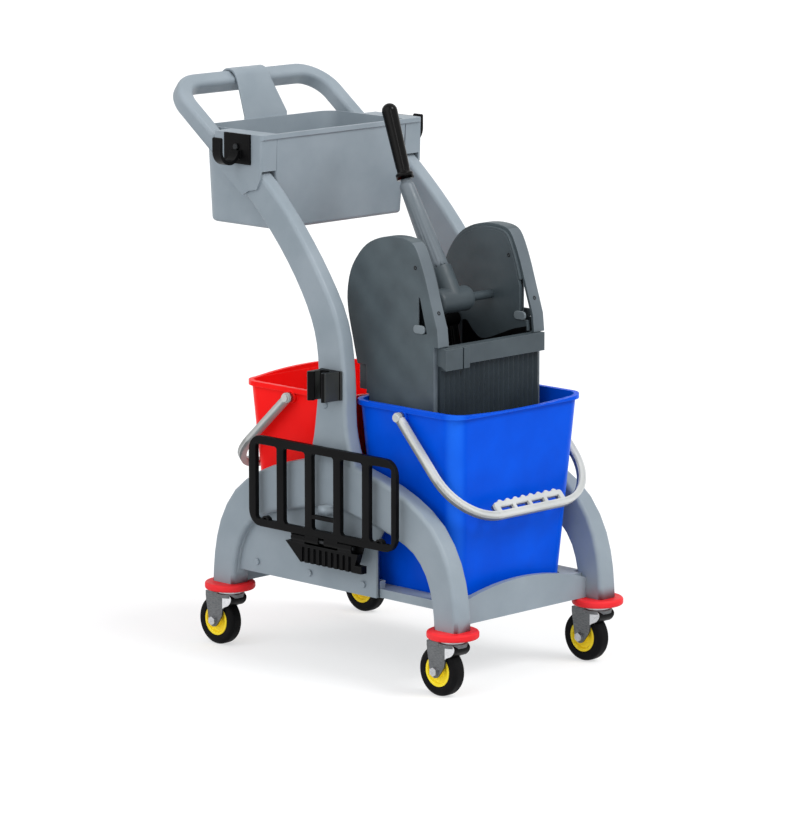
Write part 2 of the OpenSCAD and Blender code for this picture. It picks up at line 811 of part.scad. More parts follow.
bracket_flute_pitch = (bracket_y1 - bracket_y0) / bracket_flutes;
module rack_bracket() {
  color(black) difference() {
    union() {
      across(-bracket_face, bracket_plate - bracket_face) polygon(bracket_outline);
      translate([-bracket_face, bracket_y0 - bracket_foot[0] + over, bracket_low])
        cube([bracket_plate, bracket_foot[0], bracket_foot[1]]);
      translate([over - bracket_face, bracket_y0 + bracket_pad[0], bracket_low + bracket_pad[2]]) cube([
        bracket_face - over - web_out, bracket_y1 - bracket_y0 - bracket_pad[0] - bracket_pad[1],
        bracket_h - 2 * bracket_pad[2]
      ]);
      for (sy = [-1, 1]) translate([0, sy * (bracket_knuckle_y + knuckle_l / 2), 0]) {
        rod_y(-knuckle_l / 2, knuckle_l / 2, hinge_xz, knuckle_r);
        translate([-rack_x - neck_half, -knuckle_l / 2, bracket_top - over])
          cube([2 * neck_half, knuckle_l, hinge_z - bracket_top + over]);
      }
    }
    rod_y(-rack_l, rack_l, hinge_xz, hinge_r + seat_fit);
    for (i = [0:bracket_flutes - 1])
      translate([-bracket_face - over, bracket_y0 + (i + 0.25) * bracket_flute_pitch, bracket_low - over])
        cube([bracket_flute_d + over, bracket_flute_pitch / 2, bracket_h - bracket_brim]);
  }
}
module rack_hinge_pin() {
  half = bracket_knuckle_y + knuckle_l + 2;
  color(steel) rod_y(-half, half, hinge_xz, hinge_r);
}

// Cap bolts of the deck and screws of the hooks
module bolt(length) {
  rod_x(0, length, [0, 0], bolt_r);
  rod_x(-bolt_head_t, 0, [0, 0], bolt_head_r);
}
module frame_bolts() {
  color(steel) both_sides() {
    for (y = bolt_ys) translate([-web_out, y, bolt_z]) bolt(web_t + bolt_grip - over);
    translate([-hook_face, hook_mid_y, screw_z]) bolt(hook_plate_t);
  }
}

// Bucket, drawn with its pouring edge towards -Y and moved to its well
module bucket_form(inset, z0, z1) {
  hull() {
    for (z = [z0, z1 - over]) {
      drawn = draft_rate * (bucket_h - z) + inset;
      translate([0, 0, z]) linear_extrude(over)
        polygon(round_rect(body_x - drawn, body_y - drawn, bucket_corner - inset, 8));
    }
  }
}
dip_r = (body_x * body_x / pour_dip + pour_dip) / 2;
crest_half = body_x - bucket_corner;
crest_outline = concat(
  [[-crest_half, bucket_h - over], [crest_half, bucket_h - over]],
  [for (i = [0:16]) let (u = 1 - i / 8) [u * crest_half, bucket_h + crest_rise * (1 - u * u)]]
);
module bucket() {
  difference() {
    union() {
      bucket_form(0, 0, bucket_h);
      translate([0, 0, bucket_h - lip_t]) linear_extrude(lip_t)
        polygon(round_rect(bucket_w / 2, bucket_l / 2, bucket_corner + lip_w, 8));
      translate([0, 0, bucket_h - lip_h]) linear_extrude(lip_h) difference() {
        polygon(round_rect(bucket_w / 2, bucket_l / 2, bucket_corner + lip_w, 8));
        polygon(round_rect(bucket_w / 2 - lip_t, bucket_l / 2 - lip_t, bucket_corner + lip_w - lip_t, 8));
      }
      both_sides() rod_x(body_x - bucket_wall, ear_face, [0, bucket_h - ear_drop], ear_r);
      lengthwise(body_y - bucket_wall + air, bucket_l / 2 - air) polygon(crest_outline);
    }
    bucket_form(bucket_wall, bucket_wall, bucket_h + over);
    translate([0, 0, bucket_h + dip_r - pour_dip]) rotate([90, 0, 0]) cylinder(h = bucket_l, r = dip_r, $fn = 180);
    both_sides() rod_x(body_x - over, ear_face + over, [0, bucket_h - ear_drop], pin_r + seat_fit);
  }
  bucket_ledges();
}
ledge_top = bucket_h + wr_bottom - foot_bar_t;
module bucket_ledges() {
  wall_x = body_x - draft_rate * (bucket_h - ledge_top) - bucket_wall / 2;
  both_sides() translate([wr_half + ledge_gap, -ledge_half, ledge_top - ledge_h])
    cube([wall_x - wr_half - ledge_gap, 2 * ledge_half, ledge_h]);
}
module bail_pins() {
  both_sides() {
    rod_x(body_x, eye_out + air, [0, 0], pin_r);
    rod_x(eye_out + air, eye_out + air + pin_head_t, [0, 0], pin_head_r);
  }
}

// Bail in its own plane, hanging along -Z from the pivots: a grooved band bent to a ladder grip
bend_at = [bail_x - bail_bend, bail_bend - bail_reach];
function bail_outline(hw, top) = concat(
  [[bail_x + hw, top]],
  arc(bend_at, bail_bend + hw, 0, -90, 14),
  arc([-bend_at[0], bend_at[1]], bail_bend + hw, -90, -180, 14),
  [[-bail_x - hw, top], [-bail_x + hw, top]],
  arc([-bend_at[0], bend_at[1]], bail_bend - hw, 180, 270, 14),
  arc(bend_at, bail_bend - hw, 270, 360, 14),
  [[bail_x - hw, top]]
);
ladder_pitch = 2 * ladder_half / ladder_windows;
module ladder() {
  difference() {
    union() {
      translate([0, ladder_gap / 2]) polygon(round_rect(ladder_half + rung_t, ladder_gap / 2 + rail_half, rail_half));
      for (i = [0:2 * ladder_windows - 1])
        translate([-ladder_half + (i + 0.5) * ladder_pitch / 2, ladder_gap + rail_half / 2]) circle(r = finger_r);
    }
    for (i = [0:ladder_windows - 1]) translate([-ladder_half + (i + 0.5) * ladder_pitch, ladder_gap / 2])
      polygon(round_rect((ladder_pitch - rung_t) / 2, ladder_gap / 2 - rail_half + 0.5, 2));
  }
}
module bail() {
  difference() {
    union() {
      difference() {
        lengthwise(-bail_d / 2, bail_d / 2) polygon(bail_outline(bail_w / 2, 0));
        lengthwise(-bail_d / 2 - over, groove_d - bail_d / 2) polygon(bail_outline(groove_w / 2, -2 * eye_r));
      }
      lengthwise(1 - bail_d / 2, bail_d / 2 - 1) translate([0, -bail_reach]) ladder();
      both_sides() rod_x(eye_in, eye_out, [0, 0], eye_r);
    }
    rod_x(-bail_x - bail_reach, bail_x + bail_reach, [0, 0], pin_r + run_fit);
  }
}

module at_front_bucket() {
  translate([0, -bucket_y, well_z]) children();
}
module at_rear_bucket() {
  translate([0, bucket_y, well_z]) rotate([0, 0, 180]) children();
}
module blue_bucket() {
  color(blue) at_front_bucket() bucket();
}
module red_bucket() {
  color(red) translate([0, bucket_y, well_z]) bucket();
}
module blue_bail_pins() {
  color(bail_grey) at_front_bucket() translate([0, 0, bucket_h - ear_drop]) bail_pins();
}
module red_bail_pins() {
  color(bail_grey) at_rear_bucket() translate([0, 0, bucket_h - ear_drop]) bail_pins();
}
module blue_bail() {
  color(bail_grey) at_front_bucket() translate([0, 0, bucket_h - ear_drop]) rotate([-front_bail_angle, 0, 0]) bail();
}
module red_bail() {
  color(bail_grey) at_rear_bucket() translate([0, 0, bucket_h - ear_drop]) rotate([-rear_bail_angle, 0, 0]) bail();
}

// Outline of a gear cover, drawn in by d towards its core
cover_core = [-62, 123];
cover_front = [wr_front - 10, collar_z + collar_h + air];
cover_curve = [
  [-163, 123], [-147, 171], [-137, 201], [-127, 226], [-114, 249], [-96, 257.5], [-65, 259], [-35, 253.5],
  [-8, 241], [12, 221], [27, 196], [34, 163], [32, 131], [21, 86], [12, 50]
];
function drawn_in(p, d) = p + d * (cover_core - p) / norm(cover_core - p) + [wr_y, rim_z];
function cover_outline(d) = [for (p = concat(
  [[wr_rear, wr_bottom], [wr_front, wr_bottom], [wr_front, cover_front[1]], cover_front],
  spline(cover_curve, 3), [[wr_step, 50], [wr_step, 5], [wr_rear, 5]]
)) drawn_in(p, d)];
cover_slot = [for (p = [[-122, 169], [-125, 169], [-140, 114], [-122, 114]]) p + [wr_y, rim_z]];
cheek_notch = [for (p = [[-140, 179], [-192, 179], [-192, 113], [-140, 113]]) p + [wr_y, rim_z]];
cheek_foot = [for (p = [
  [wr_rear, wr_bottom], [wr_front, wr_bottom], [wr_front, collar_z + collar_h], [wr_step, 42],
  [wr_step, 5], [wr_rear, 5]
]) p + [wr_y, rim_z]];

function flute_x(i) = -wall_half + i * wall_half / flute_count;
front_wall_y = wr_y + wr_front - front_wall_t - flute_d;
flute_outline = concat(
  [[wall_half, front_wall_y + front_wall_t + flute_d], [-wall_half, front_wall_y + front_wall_t + flute_d]],
  [for (i = [0:2 * flute_count]) [flute_x(i), front_wall_y + (i % 2 == 0 ? flute_d : 0)]]
);
cheek_inset = 9;
latch = [37, 13];
latch_gap = 3;
latch_d = 12;
latch_out = 3;
latch_drop = 6;
latch_low = 2;
rail_z = [10, 33, 49];
rail_d = 20;
rail_end = 3;
rail_bite = 2;
module wringer_frame() {
  bottom = rim_z + wr_bottom;
  front = wr_y + wr_front;
  rear = wr_y + wr_rear;
  step = wr_y + wr_step;
  slot_pitch = 2 * cheek_in / grate_slots;
  color(slate) difference() {
    union() {
      both_sides() {
        difference() {
          across(cheek_in, cover_in) polygon(cover_outline(cheek_inset));
          across(cheek_in - over, cover_in + over) polygon(cheek_notch);
        }
        across(cheek_in, cover_in) polygon(cheek_foot);
        translate([cover_in - rail_bite, step, rim_z + rail_z[0]])
          cube([wall_half + rail_end + rail_bite - cover_in, rail_d, rail_z[2] - rail_z[0]]);
      }
      translate([0, 0, bottom]) linear_extrude(collar_z - wr_bottom) polygon(flute_outline);
      translate([-collar_half, front - collar_t, rim_z + collar_z]) cube([2 * collar_half, collar_t, collar_h]);
      for (l = [[0, latch[0]], [latch[0] + latch_gap, latch[1]]])
        translate([l[0] - collar_half, front - collar_t - latch_out, rim_z + collar_z - latch_drop])
          cube([l[1], latch_d, collar_h + latch_drop - latch_low]);
      translate([-cheek_in, front, bottom]) cube([2 * cheek_in, rear - front, grate_t]);
      translate([-cheek_in, rear - grate_t, bottom]) cube([2 * cheek_in, grate_t, grate_back_h]);
      translate([-wall_half, step, rim_z + rail_z[0]]) cube([2 * wall_half, rail_d, rail_z[1] - rail_z[0]]);
      translate([-cheek_in - rail_bite, step - rail_bite, rim_z + rail_z[0]])
        cube([2 * (cheek_in + rail_bite), 2 * rail_bite, rail_z[1] - rail_z[0]]);
      for (y = foot_bar_ys) translate([-foot_bar_x, wr_y + y - foot_bar_w / 2, bottom - foot_bar_t])
        cube([2 * foot_bar_x, foot_bar_w, foot_bar_t]);
    }
    rod_x(-wr_half, wr_half, axis_a, axle_a_r + run_fit);
    rod_x(-wr_half, wr_half, axis_b, shaft_b_r + run_fit);
    for (i = [0:grate_slots - 1]) for (y = grate_rows)
      translate([-cheek_in + (i + 0.25) * slot_pitch, wr_y + y, bottom - foot_bar_t - over])
        cube([slot_pitch / 2, grate_slot_l, grate_t + foot_bar_t + 2 * over]);
  }
}
module gear_cover() {
  color(slate) difference() {
    across(cover_in, wr_half) polygon(cover_outline(0));
    across(cover_in - over, wr_half - cover_wall) polygon(cover_outline(cover_wall + 1));
    across(cover_in - over, wr_half + over) polygon(cover_slot);
  }
}
module left_gear_cover() {
  mirror([1, 0, 0]) gear_cover();
}
module right_gear_cover() {
  gear_cover();
}

// Involute gear sectors, tooth by tooth
pressure = 20;
function inv_deg(a) = tan(a) * 180 / PI - a;
function flank(teeth, rho) =
  let (r = gear_module * teeth / 2, rb = r * cos(pressure))
  (PI * gear_module / 2 - gear_play) / (2 * r) * 180 / PI + inv_deg(pressure)
    - (rho > rb ? inv_deg(acos(rb / rho)) : 0);
function tooth(teeth, at) =
  let (
    r = gear_module * teeth / 2, root = r - 1.25 * gear_module, tip = r + 0.95 * gear_module,
    rhos = [for (i = [0:4]) root + (tip - root) * i / 4]
  ) concat(
    [for (i = [0:4]) rhos[i] * [cos(at - flank(teeth, rhos[i])), sin(at - flank(teeth, rhos[i]))]],
    [for (i = [4:-1:0]) rhos[i] * [cos(at + flank(teeth, rhos[i])), sin(at + flank(teeth, rhos[i]))]]
  );
function sector(teeth, mid, first, last) = concat(
  [[0, 0]], [for (k = [first:last]) each tooth(teeth, mid + k * 360 / teeth)]
);
module gear_pair(axis, outline, hub, bore) {
  color(steel) both_sides() difference() {
    translate([0, axis[0], axis[1]]) {
      across(gear_x, gear_x + gear_t) polygon(outline);
      rod_x(gear_x, gear_x + gear_t, [0, 0], hub);
    }
    rod_x(gear_x - over, gear_x + gear_t + over, axis, bore);
  }
}
module lever_gears() {
  gear_pair(
    axis_a, sector(lever_teeth, gear_angle, lever_span[0], lever_span[1]), gear_hub_r, axle_a_r + seat_fit
  );
}
module plate_gears() {
  meshed = gear_angle + 180 + 180 / plate_teeth;
  gear_pair(
    axis_b, sector(plate_teeth, meshed, plate_span[0], plate_span[1]), gear_hub_r, shaft_b_r + seat_fit
  );
}
module lever_axle() {
  color(steel) rod_x(-spindle_end, spindle_end, axis_a, axle_a_r);
}
module plate_shaft() {
  color(steel) rod_x(-spindle_end, spindle_end, axis_b, shaft_b_r);
}

// Press plate: hub on its shaft and a ribbed plate that hangs behind the mop
module press_plate() {
  half = cheek_in - plate_gap;
  rib_pitch = 2 * half / plate_ribs;
  color(black) translate([0, axis_b[0], axis_b[1]]) rotate([-plate_lean, 0, 0]) difference() {
    union() {
      rod_x(-half, half, [0, 0], plate_hub_r);
      translate([-half, -plate_t / 2, -plate_len]) cube([2 * half, plate_t, plate_len]);
      for (i = [0:plate_ribs - 1]) 
        translate([-half + (i + (1 - rib_share) / 2) * rib_pitch, -plate_t / 2 - plate_rib_h, -plate_len])
          cube([rib_pitch * rib_share, plate_rib_h + over, plate_len - plate_hub_r]);
    }
    rod_x(-wr_half, wr_half, [0, 0], shaft_b_r + seat_fit);
  }
}

// Lever: barrel yoke with a socket, tapered tube and grip
module at_lever() {
  translate([0, axis_a[0], axis_a[1]]) rotate([-lever_lean, 0, 0]) children();
}
yoke_profile = concat(
  [[0, -yoke_half], [yoke_r - yoke_round, -yoke_half]],
  arc([yoke_r - yoke_round, yoke_round - yoke_half], yoke_round, -90, 0, 6),
  arc([yoke_r - yoke_round, yoke_half - yoke_round], yoke_round, 0, 90, 6),
  [[0, yoke_half]]
);
module lever_yoke() {
  color(slate) difference() {
    union() {
      translate([0, axis_a[0], axis_a[1]]) rotate([0, 90, 0]) rotate_extrude() polygon(yoke_profile);
      at_lever() cylinder(h = yoke_r + socket_len, r = socket_out_r);
    }
    rod_x(-wr_half, wr_half, axis_a, axle_a_r + seat_fit);
    at_lever() translate([0, 0, yoke_r]) cylinder(h = socket_len + over, r = tube_low_r - 2 + seat_fit);
  }
}
module at_grip() {
  at_lever() translate([0, 0, lever_len]) rotate([lever_lean - grip_lean, 0, 0]) children();
}
module lever_tube() {
  shoulder = yoke_r + socket_len;
  color(slate) {
    at_lever() {
      translate([0, 0, yoke_r]) cylinder(h = socket_len, r = tube_low_r - 2);
      translate([0, 0, shoulder]) cylinder(h = lever_len - shoulder, r1 = tube_low_r, r2 = tube_top_r);
      translate([0, 0, lever_len]) sphere(r = tube_top_r);
    }
    at_grip() cylinder(h = grip_len - grip_cap, r = grip_bore_r);
  }
}
grip_start = 13;
grip_profile = concat(
  [[grip_bore_r + seat_fit, grip_start], [collar_ring_r, grip_start], [collar_ring_r, grip_start + collar_ring_l],
   [grip_r - 1, grip_start + collar_ring_l + 3], [grip_r, grip_len / 2]],
  arc([0, grip_len - grip_r], grip_r, 0, 90, 8),
  [[0, grip_len - grip_cap + seat_fit], [grip_bore_r + seat_fit, grip_len - grip_cap + seat_fit]]
);
module lever_grip() {
  color(black) at_grip() rotate_extrude() polygon(grip_profile);
}

module front_left_bumper() { at_corner(-1, -1) bumper(); }
module front_right_bumper() { at_corner(1, -1) bumper(); }
module rear_left_bumper() { at_corner(-1, 1) bumper(); }
module rear_right_bumper() { at_corner(1, 1) bumper(); }
module front_left_stem() { at_corner(-1, -1) castor_stem(); }
module front_left_fork() { at_corner(-1, -1) castor_fork(); }
module front_left_axle() { at_corner(-1, -1) castor_axle(); }
module front_left_hub() { at_corner(-1, -1) castor_hub(); }
module front_left_tyre() { at_corner(-1, -1) castor_tyre(); }
module front_right_stem() { at_corner(1, -1) castor_stem(); }
module front_right_fork() { at_corner(1, -1) castor_fork(); }
module front_right_axle() { at_corner(1, -1) castor_axle(); }
module front_right_hub() { at_corner(1, -1) castor_hub(); }
module front_right_tyre() { at_corner(1, -1) castor_tyre(); }
module rear_left_stem() { at_corner(-1, 1) castor_stem(); }
module rear_left_fork() { at_corner(-1, 1) castor_fork(); }
module rear_left_axle() { at_corner(-1, 1) castor_axle(); }
module rear_left_hub() { at_corner(-1, 1) castor_hub(); }
module rear_left_tyre() { at_corner(-1, 1) castor_tyre(); }
module rear_right_stem() { at_corner(1, 1) castor_stem(); }
module rear_right_fork() { at_corner(1, 1) castor_fork(); }
module rear_right_axle() { at_corner(1, 1) castor_axle(); }
module rear_right_hub() { at_corner(1, 1) castor_hub(); }
module rear_right_tyre() { at_corner(1, 1) castor_tyre(); }

base_deck();
left_side_frame();
right_side_frame();
tray();
push_handle();
handle_bridge();
left_hook();
right_hook();
mop_clip();
rack_bracket();
rack_hinge_pin();
frame_bolts();
front_left_bumper();
front_right_bumper();
rear_left_bumper();
rear_right_bumper();
front_left_stem();
front_left_fork();
front_left_axle();
front_left_hub();
front_left_tyre();
front_right_stem();
front_right_fork();
front_right_axle();
front_right_hub();
front_right_tyre();
rear_left_stem();
rear_left_fork();
rear_left_axle();
rear_left_hub();
rear_left_tyre();
rear_right_stem();
rear_right_fork();
rear_right_axle();
rear_right_hub();
rear_right_tyre();
side_rack();
blue_bucket();
blue_bail();
blue_bail_pins();
red_bucket();
red_bail();
red_bail_pins();
wringer_frame();
left_gear_cover();
right_gear_cover();
press_plate();
plate_shaft();
plate_gears();
lever_axle();
lever_gears();
lever_yoke();
lever_tube();
lever_grip();
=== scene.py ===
"""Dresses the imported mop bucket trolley: finishes, rounded edges, small fittings, studio and camera."""

import logging
import math
from collections.abc import Callable
from dataclasses import dataclass, field
from enum import Enum

import bmesh
import bpy
from mathutils import Matrix, Vector


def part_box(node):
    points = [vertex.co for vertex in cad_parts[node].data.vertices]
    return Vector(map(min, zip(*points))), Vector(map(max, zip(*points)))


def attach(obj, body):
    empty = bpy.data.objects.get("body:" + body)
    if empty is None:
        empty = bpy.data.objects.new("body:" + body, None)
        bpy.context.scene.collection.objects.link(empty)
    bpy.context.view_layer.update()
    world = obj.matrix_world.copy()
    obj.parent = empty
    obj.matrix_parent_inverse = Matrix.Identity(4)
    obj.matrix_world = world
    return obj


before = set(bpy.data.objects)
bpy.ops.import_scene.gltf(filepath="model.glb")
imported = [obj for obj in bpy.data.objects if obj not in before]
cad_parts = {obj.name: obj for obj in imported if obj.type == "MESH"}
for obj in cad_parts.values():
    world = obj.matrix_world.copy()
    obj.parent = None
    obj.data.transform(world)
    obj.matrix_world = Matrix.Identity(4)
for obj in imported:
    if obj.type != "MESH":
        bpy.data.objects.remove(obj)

LOG = logging.getLogger("trolley")
MM = 0.001
WHITE = (1.0, 1.0, 1.0, 1.0)
SIDES = (("left", -1), ("right", 1))
CORNERS = ("front_left", "front_right", "rear_left", "rear_right")

Pair = tuple[float, float]
Triple = tuple[float, float, float]
Colour = tuple[float, float, float]
Points = tuple[Pair, ...]
Outline = list[Pair]
Picker = Callable[[Vector, Vector], bool]

SRGB_KNEE = 0.04045
SRGB_SLOPE = 12.92
SRGB_OFFSET = 0.055
SRGB_POWER = 2.4


def linear(srgb: Colour) -> tuple[float, float, float, float]:
    """Turn a display colour into the linear colour that shaders take.

    Args:
        srgb: Red, green and blue from 0 to 255.

    Returns:
        Linear red, green, blue and an alpha of 1.
    """
    lin = []
    for part in srgb:
        c = part / 255.0
        curved = ((c + SRGB_OFFSET) / (1.0 + SRGB_OFFSET)) ** SRGB_POWER
        lin.append(c / SRGB_SLOPE if c <= SRGB_KNEE else curved)
    return (lin[0], lin[1], lin[2], 1.0)


@dataclass(frozen=True)
class Cloud:
    """Noise, in lumps per metre, and the band of its values that is used."""

    scale: float
    detail: float
    span: Pair


class Graph:
    """A material's node tree with short ways to add and join nodes."""

    MIX_FACTOR = 0
    MIX_FIRST = 6
    MIX_SECOND = 7
    MIX_RESULT = 2
    EDGE_SAMPLES = 3
    EDGE_LIKENESS = (0.99, 0.82)
    CORNER_SPAN = (0.12, 0.5)

    def __init__(self, name: str) -> None:
        """Make an empty material with its output and one Principled shader.

        Args:
            name: Name of the material.
        """
        self.material = bpy.data.materials.new(name)
        self.material.use_nodes = True
        self.tree = self.material.node_tree
        self.tree.nodes.clear()
        self.output = self.add("OutputMaterial")
        self.shader = self.add("BsdfPrincipled")
        self.join(self.shader, "BSDF", self.output, "Surface")
        self.coords = self.add("TexCoord")

    def add(self, kind: str, operation: str = "") -> bpy.types.Node:
        """Add a node.

        Args:
            kind: Its type, without the leading ShaderNode.
            operation: What it works out, where it has a choice.

        Returns:
            The node.
        """
        node = self.tree.nodes.new(f"ShaderNode{kind}")
        if operation:
            node.operation = operation
        return node

    def join(
        self, source: bpy.types.Node, out: str | int, target: bpy.types.Node, socket: str | int
    ) -> None:
        """Link one node's output to another's input.

        Args:
            source: Node that gives the value.
            out: Name or place of its output.
            target: Node that takes the value.
            socket: Name or place of its input.
        """
        self.tree.links.new(source.outputs[out], target.inputs[socket])

    def noise(self, scale: float, detail: float, stretch: Triple = (1.0, 1.0, 1.0)) -> bpy.types.Node:
        """Add noise in the object's own metres.

        Args:
            scale: Lumps per metre.
            detail: Octaves of finer noise.
            stretch: Factor along each axis.

        Returns:
            The noise node.
        """
        mapping = self.add("Mapping")
        mapping.inputs["Scale"].default_value = stretch
        self.join(self.coords, "Object", mapping, "Vector")
        node = self.add("TexNoise")
        node.inputs["Scale"].default_value = scale
        node.inputs["Detail"].default_value = detail
        self.join(mapping, "Vector", node, "Vector")
        return node

    def remap(
        self, source: bpy.types.Node, out: str, span: Pair, result: Pair = (0.0, 1.0)
    ) -> bpy.types.Node:
        """Map one range of values to another.

        Args:
            source: Node that gives the value.
            out: Name of its output.
            span: Values that give the two ends of the result.
            result: The two ends of the result.

        Returns:
            The Map Range node.
        """
        node = self.add("MapRange")
        for name, value in zip(("From Min", "From Max", "To Min", "To Max"), (*span, *result)):
            node.inputs[name].default_value = value
        self.join(source, out, node, "Value")
        return node

    def spread(self, cloud: Cloud, result: Pair = (0.0, 1.0)) -> bpy.types.Node:
        """Map the middle band of a new noise to a range of values.

        Args:
            cloud: The noise and its band.
            result: The two ends of the result.

        Returns:
            The Map Range node.
        """
        return self.remap(self.noise(cloud.scale, cloud.detail), "Fac", cloud.span, result)

    def tint(self, factor: bpy.types.Node, first: Colour, second: Colour) -> bpy.types.Node:
        """Mix two display colours by a factor.

        Args:
            factor: Node whose first output gives the factor.
            first: Colour at factor 0.
            second: Colour at factor 1.

        Returns:
            The Mix node.
        """
        node = self.add("Mix")
        node.data_type = "RGBA"
        self.join(factor, 0, node, self.MIX_FACTOR)
        node.inputs[self.MIX_FIRST].default_value = linear(first)
        node.inputs[self.MIX_SECOND].default_value = linear(second)
        return node

    def overlay(self, under: bpy.types.Node, factor: bpy.types.Node, colour: Colour) -> bpy.types.Node:
        """Lay a display colour over an earlier mix.

        Args:
            under: The earlier Mix node.
            factor: Node whose first output says how much the colour covers.
            colour: The colour on top.

        Returns:
            The new Mix node.
        """
        node = self.tint(factor, colour, colour)
        self.join(under, self.MIX_RESULT, node, self.MIX_FIRST)
        return node

    def edges(self, reach: float) -> bpy.types.Node:
        """Mark the surface close to its edges.

        Args:
            reach: How far from an edge the mark goes, in metres.

        Returns:
            A Map Range node that gives 0 on flats and 1 on edges.
        """
        rounded = self.add("Bevel")
        rounded.samples = self.EDGE_SAMPLES
        rounded.inputs["Radius"].default_value = reach
        likeness = self.add("VectorMath", "DOT_PRODUCT")
        self.join(rounded, "Normal", likeness, 0)
        self.join(self.add("NewGeometry"), "Normal", likeness, 1)
        return self.remap(likeness, "Value", self.EDGE_LIKENESS)

    def product(self, first: bpy.types.Node, second: bpy.types.Node, share: float) -> bpy.types.Node:
        """Multiply two results, with a share of the first.

        Args:
            first: Node whose Result is scaled.
            second: Node whose Result thins it out.
            share: Largest value that is left.

        Returns:
            The Math node.
        """
        scaled = self.add("Math", "MULTIPLY")
        scaled.inputs[1].default_value = share
        self.join(first, "Result", scaled, 0)
        node = self.add("Math", "MULTIPLY")
        self.join(scaled, 0, node, 0)
        self.join(second, "Result", node, 1)
        return node

    def bands(self, across: Triple, period: float) -> bpy.types.Node:
        """Lay soft parallel bands of painted light and shade over the surface, in place of shallow ribs.

        Args:
            across: Unit direction across the bands.
            period: Distance from band to band, in metres.

        Returns:
            A Math node that swings between -1 and 1.
        """
        along = self.add("VectorMath", "DOT_PRODUCT")
        along.inputs[1].default_value = tuple(c * math.tau / period for c in across)
        self.join(self.coords, "Object", along, 0)
        node = self.add("Math", "SINE")
        self.join(along, "Value", node, 0)
        return node

    def corners(self) -> bpy.types.Node:
        """Mark the upright corners of a box-like form, where a lighter colour is laid as a painted sheen.

        Returns:
            A Map Range node that gives 0 on the sides and 1 on the corners.
        """
        parts = self.add("SeparateXYZ")
        self.join(self.add("NewGeometry"), "Normal", parts, "Vector")
        both = self.add("Math", "MULTIPLY")
        self.join(parts, "X", both, 0)
        self.join(parts, "Y", both, 1)
        size = self.add("Math", "ABSOLUTE")
        self.join(both, 0, size, 0)
        node = self.remap(size, "Value", self.CORNER_SPAN)
        node.interpolation_type = "SMOOTHSTEP"
        return node

    def bump(self, source: bpy.types.Node, depth: float, strength: float) -> None:
        """Raise the surface by a noise.

        Args:
            source: Noise node that gives the height.
            depth: Height of the bumps in metres.
            strength: How much of the bump shows.
        """
        node = self.add("Bump")
        node.inputs["Distance"].default_value = depth
        node.inputs["Strength"].default_value = strength
        self.join(source, "Fac", node, "Height")
        self.join(node, "Normal", self.shader, "Normal")


@dataclass(frozen=True)
class Moulding:
    """Moulded plastic or rubber: mottled colour, fine grain, uneven gloss and worn edges, with painted
    light where set: soft bands of light and shade and a sheen on upright corners.
    """

    name: str
    light: Colour
    dark: Colour
    gloss: Pair
    grain: float = 900.0
    grain_detail: float = 2.0
    grain_depth: float = 0.00012
    grain_strength: float = 0.25
    specular: float = 0.3
    worn: Colour = (200, 204, 206)
    wear: float = 0.25
    wear_reach: float = 0.0018
    wear_least: float = 0.3
    # The band, its period and its share paint stripes of light and shade in place of shallow ribs.
    band: Triple = (0.0, 0.0, 0.0)
    rib_shading_period: float = 0.018
    rib_shading_share: float = 0.0
    # The corner colour, its share and its least share paint a sheen on upright corners in place of a
    # highlight.
    corner: Colour = (255, 255, 255)
    corner_sheen_share: float = 0.0
    corner_sheen_least: float = 0.5
    mottle: Cloud = Cloud(14.0, 5.0, (0.35, 0.68))
    wear_cloud: Cloud = Cloud(120.0, 4.0, (0.35, 0.6))
    corner_sheen_cloud: Cloud = Cloud(9.0, 3.0, (0.2, 0.7))
    gloss_cloud: Cloud = Cloud(55.0, 4.0, (0.3, 0.7))

    def patches(self, graph: Graph) -> bpy.types.Node:
        """Lay out where the colour is light and where it is dark: a random mottle, plus painted bands of
        light and shade where they are set.

        Args:
            graph: The material's nodes.

        Returns:
            A node whose first output goes from 0, dark, to 1, light.
        """
        mottle = graph.spread(self.mottle)
        if self.rib_shading_share == 0.0:
            return mottle
        # Painted light and shade: soft stripes stand in for shallow ribs.
        swing = graph.bands(self.band, self.rib_shading_period)
        shift = graph.remap(swing, "Value", (-1.0, 1.0), (-self.rib_shading_share, self.rib_shading_share))
        total = graph.add("Math", "ADD")
        total.use_clamp = True
        graph.join(mottle, "Result", total, 0)
        graph.join(shift, "Result", total, 1)
        return total

    def build(self) -> bpy.types.Material:
        """Make the material.

        Returns:
            The finished material.
        """
        graph = Graph(self.name)
        surface = graph.tint(self.patches(graph), self.dark, self.light)
        # Painted sheen: a lighter colour on the upright corners stands in for a highlight.
        if self.corner_sheen_share > 0.0:
            soft = graph.spread(self.corner_sheen_cloud, (self.corner_sheen_least, 1.0))
            painted_sheen = graph.product(graph.corners(), soft, self.corner_sheen_share)
            surface = graph.overlay(surface, painted_sheen, self.corner)
        uneven = graph.spread(self.wear_cloud, (self.wear_least, 1.0))
        rubbed = graph.product(graph.edges(self.wear_reach), uneven, self.wear)
        surface = graph.overlay(surface, rubbed, self.worn)
        graph.join(surface, graph.MIX_RESULT, graph.shader, "Base Color")
        graph.join(graph.spread(self.gloss_cloud, self.gloss), "Result", graph.shader, "Roughness")
        graph.bump(graph.noise(self.grain, self.grain_detail), self.grain_depth, self.grain_strength)
        graph.shader.inputs["Specular IOR Level"].default_value = self.specular
        return graph.material


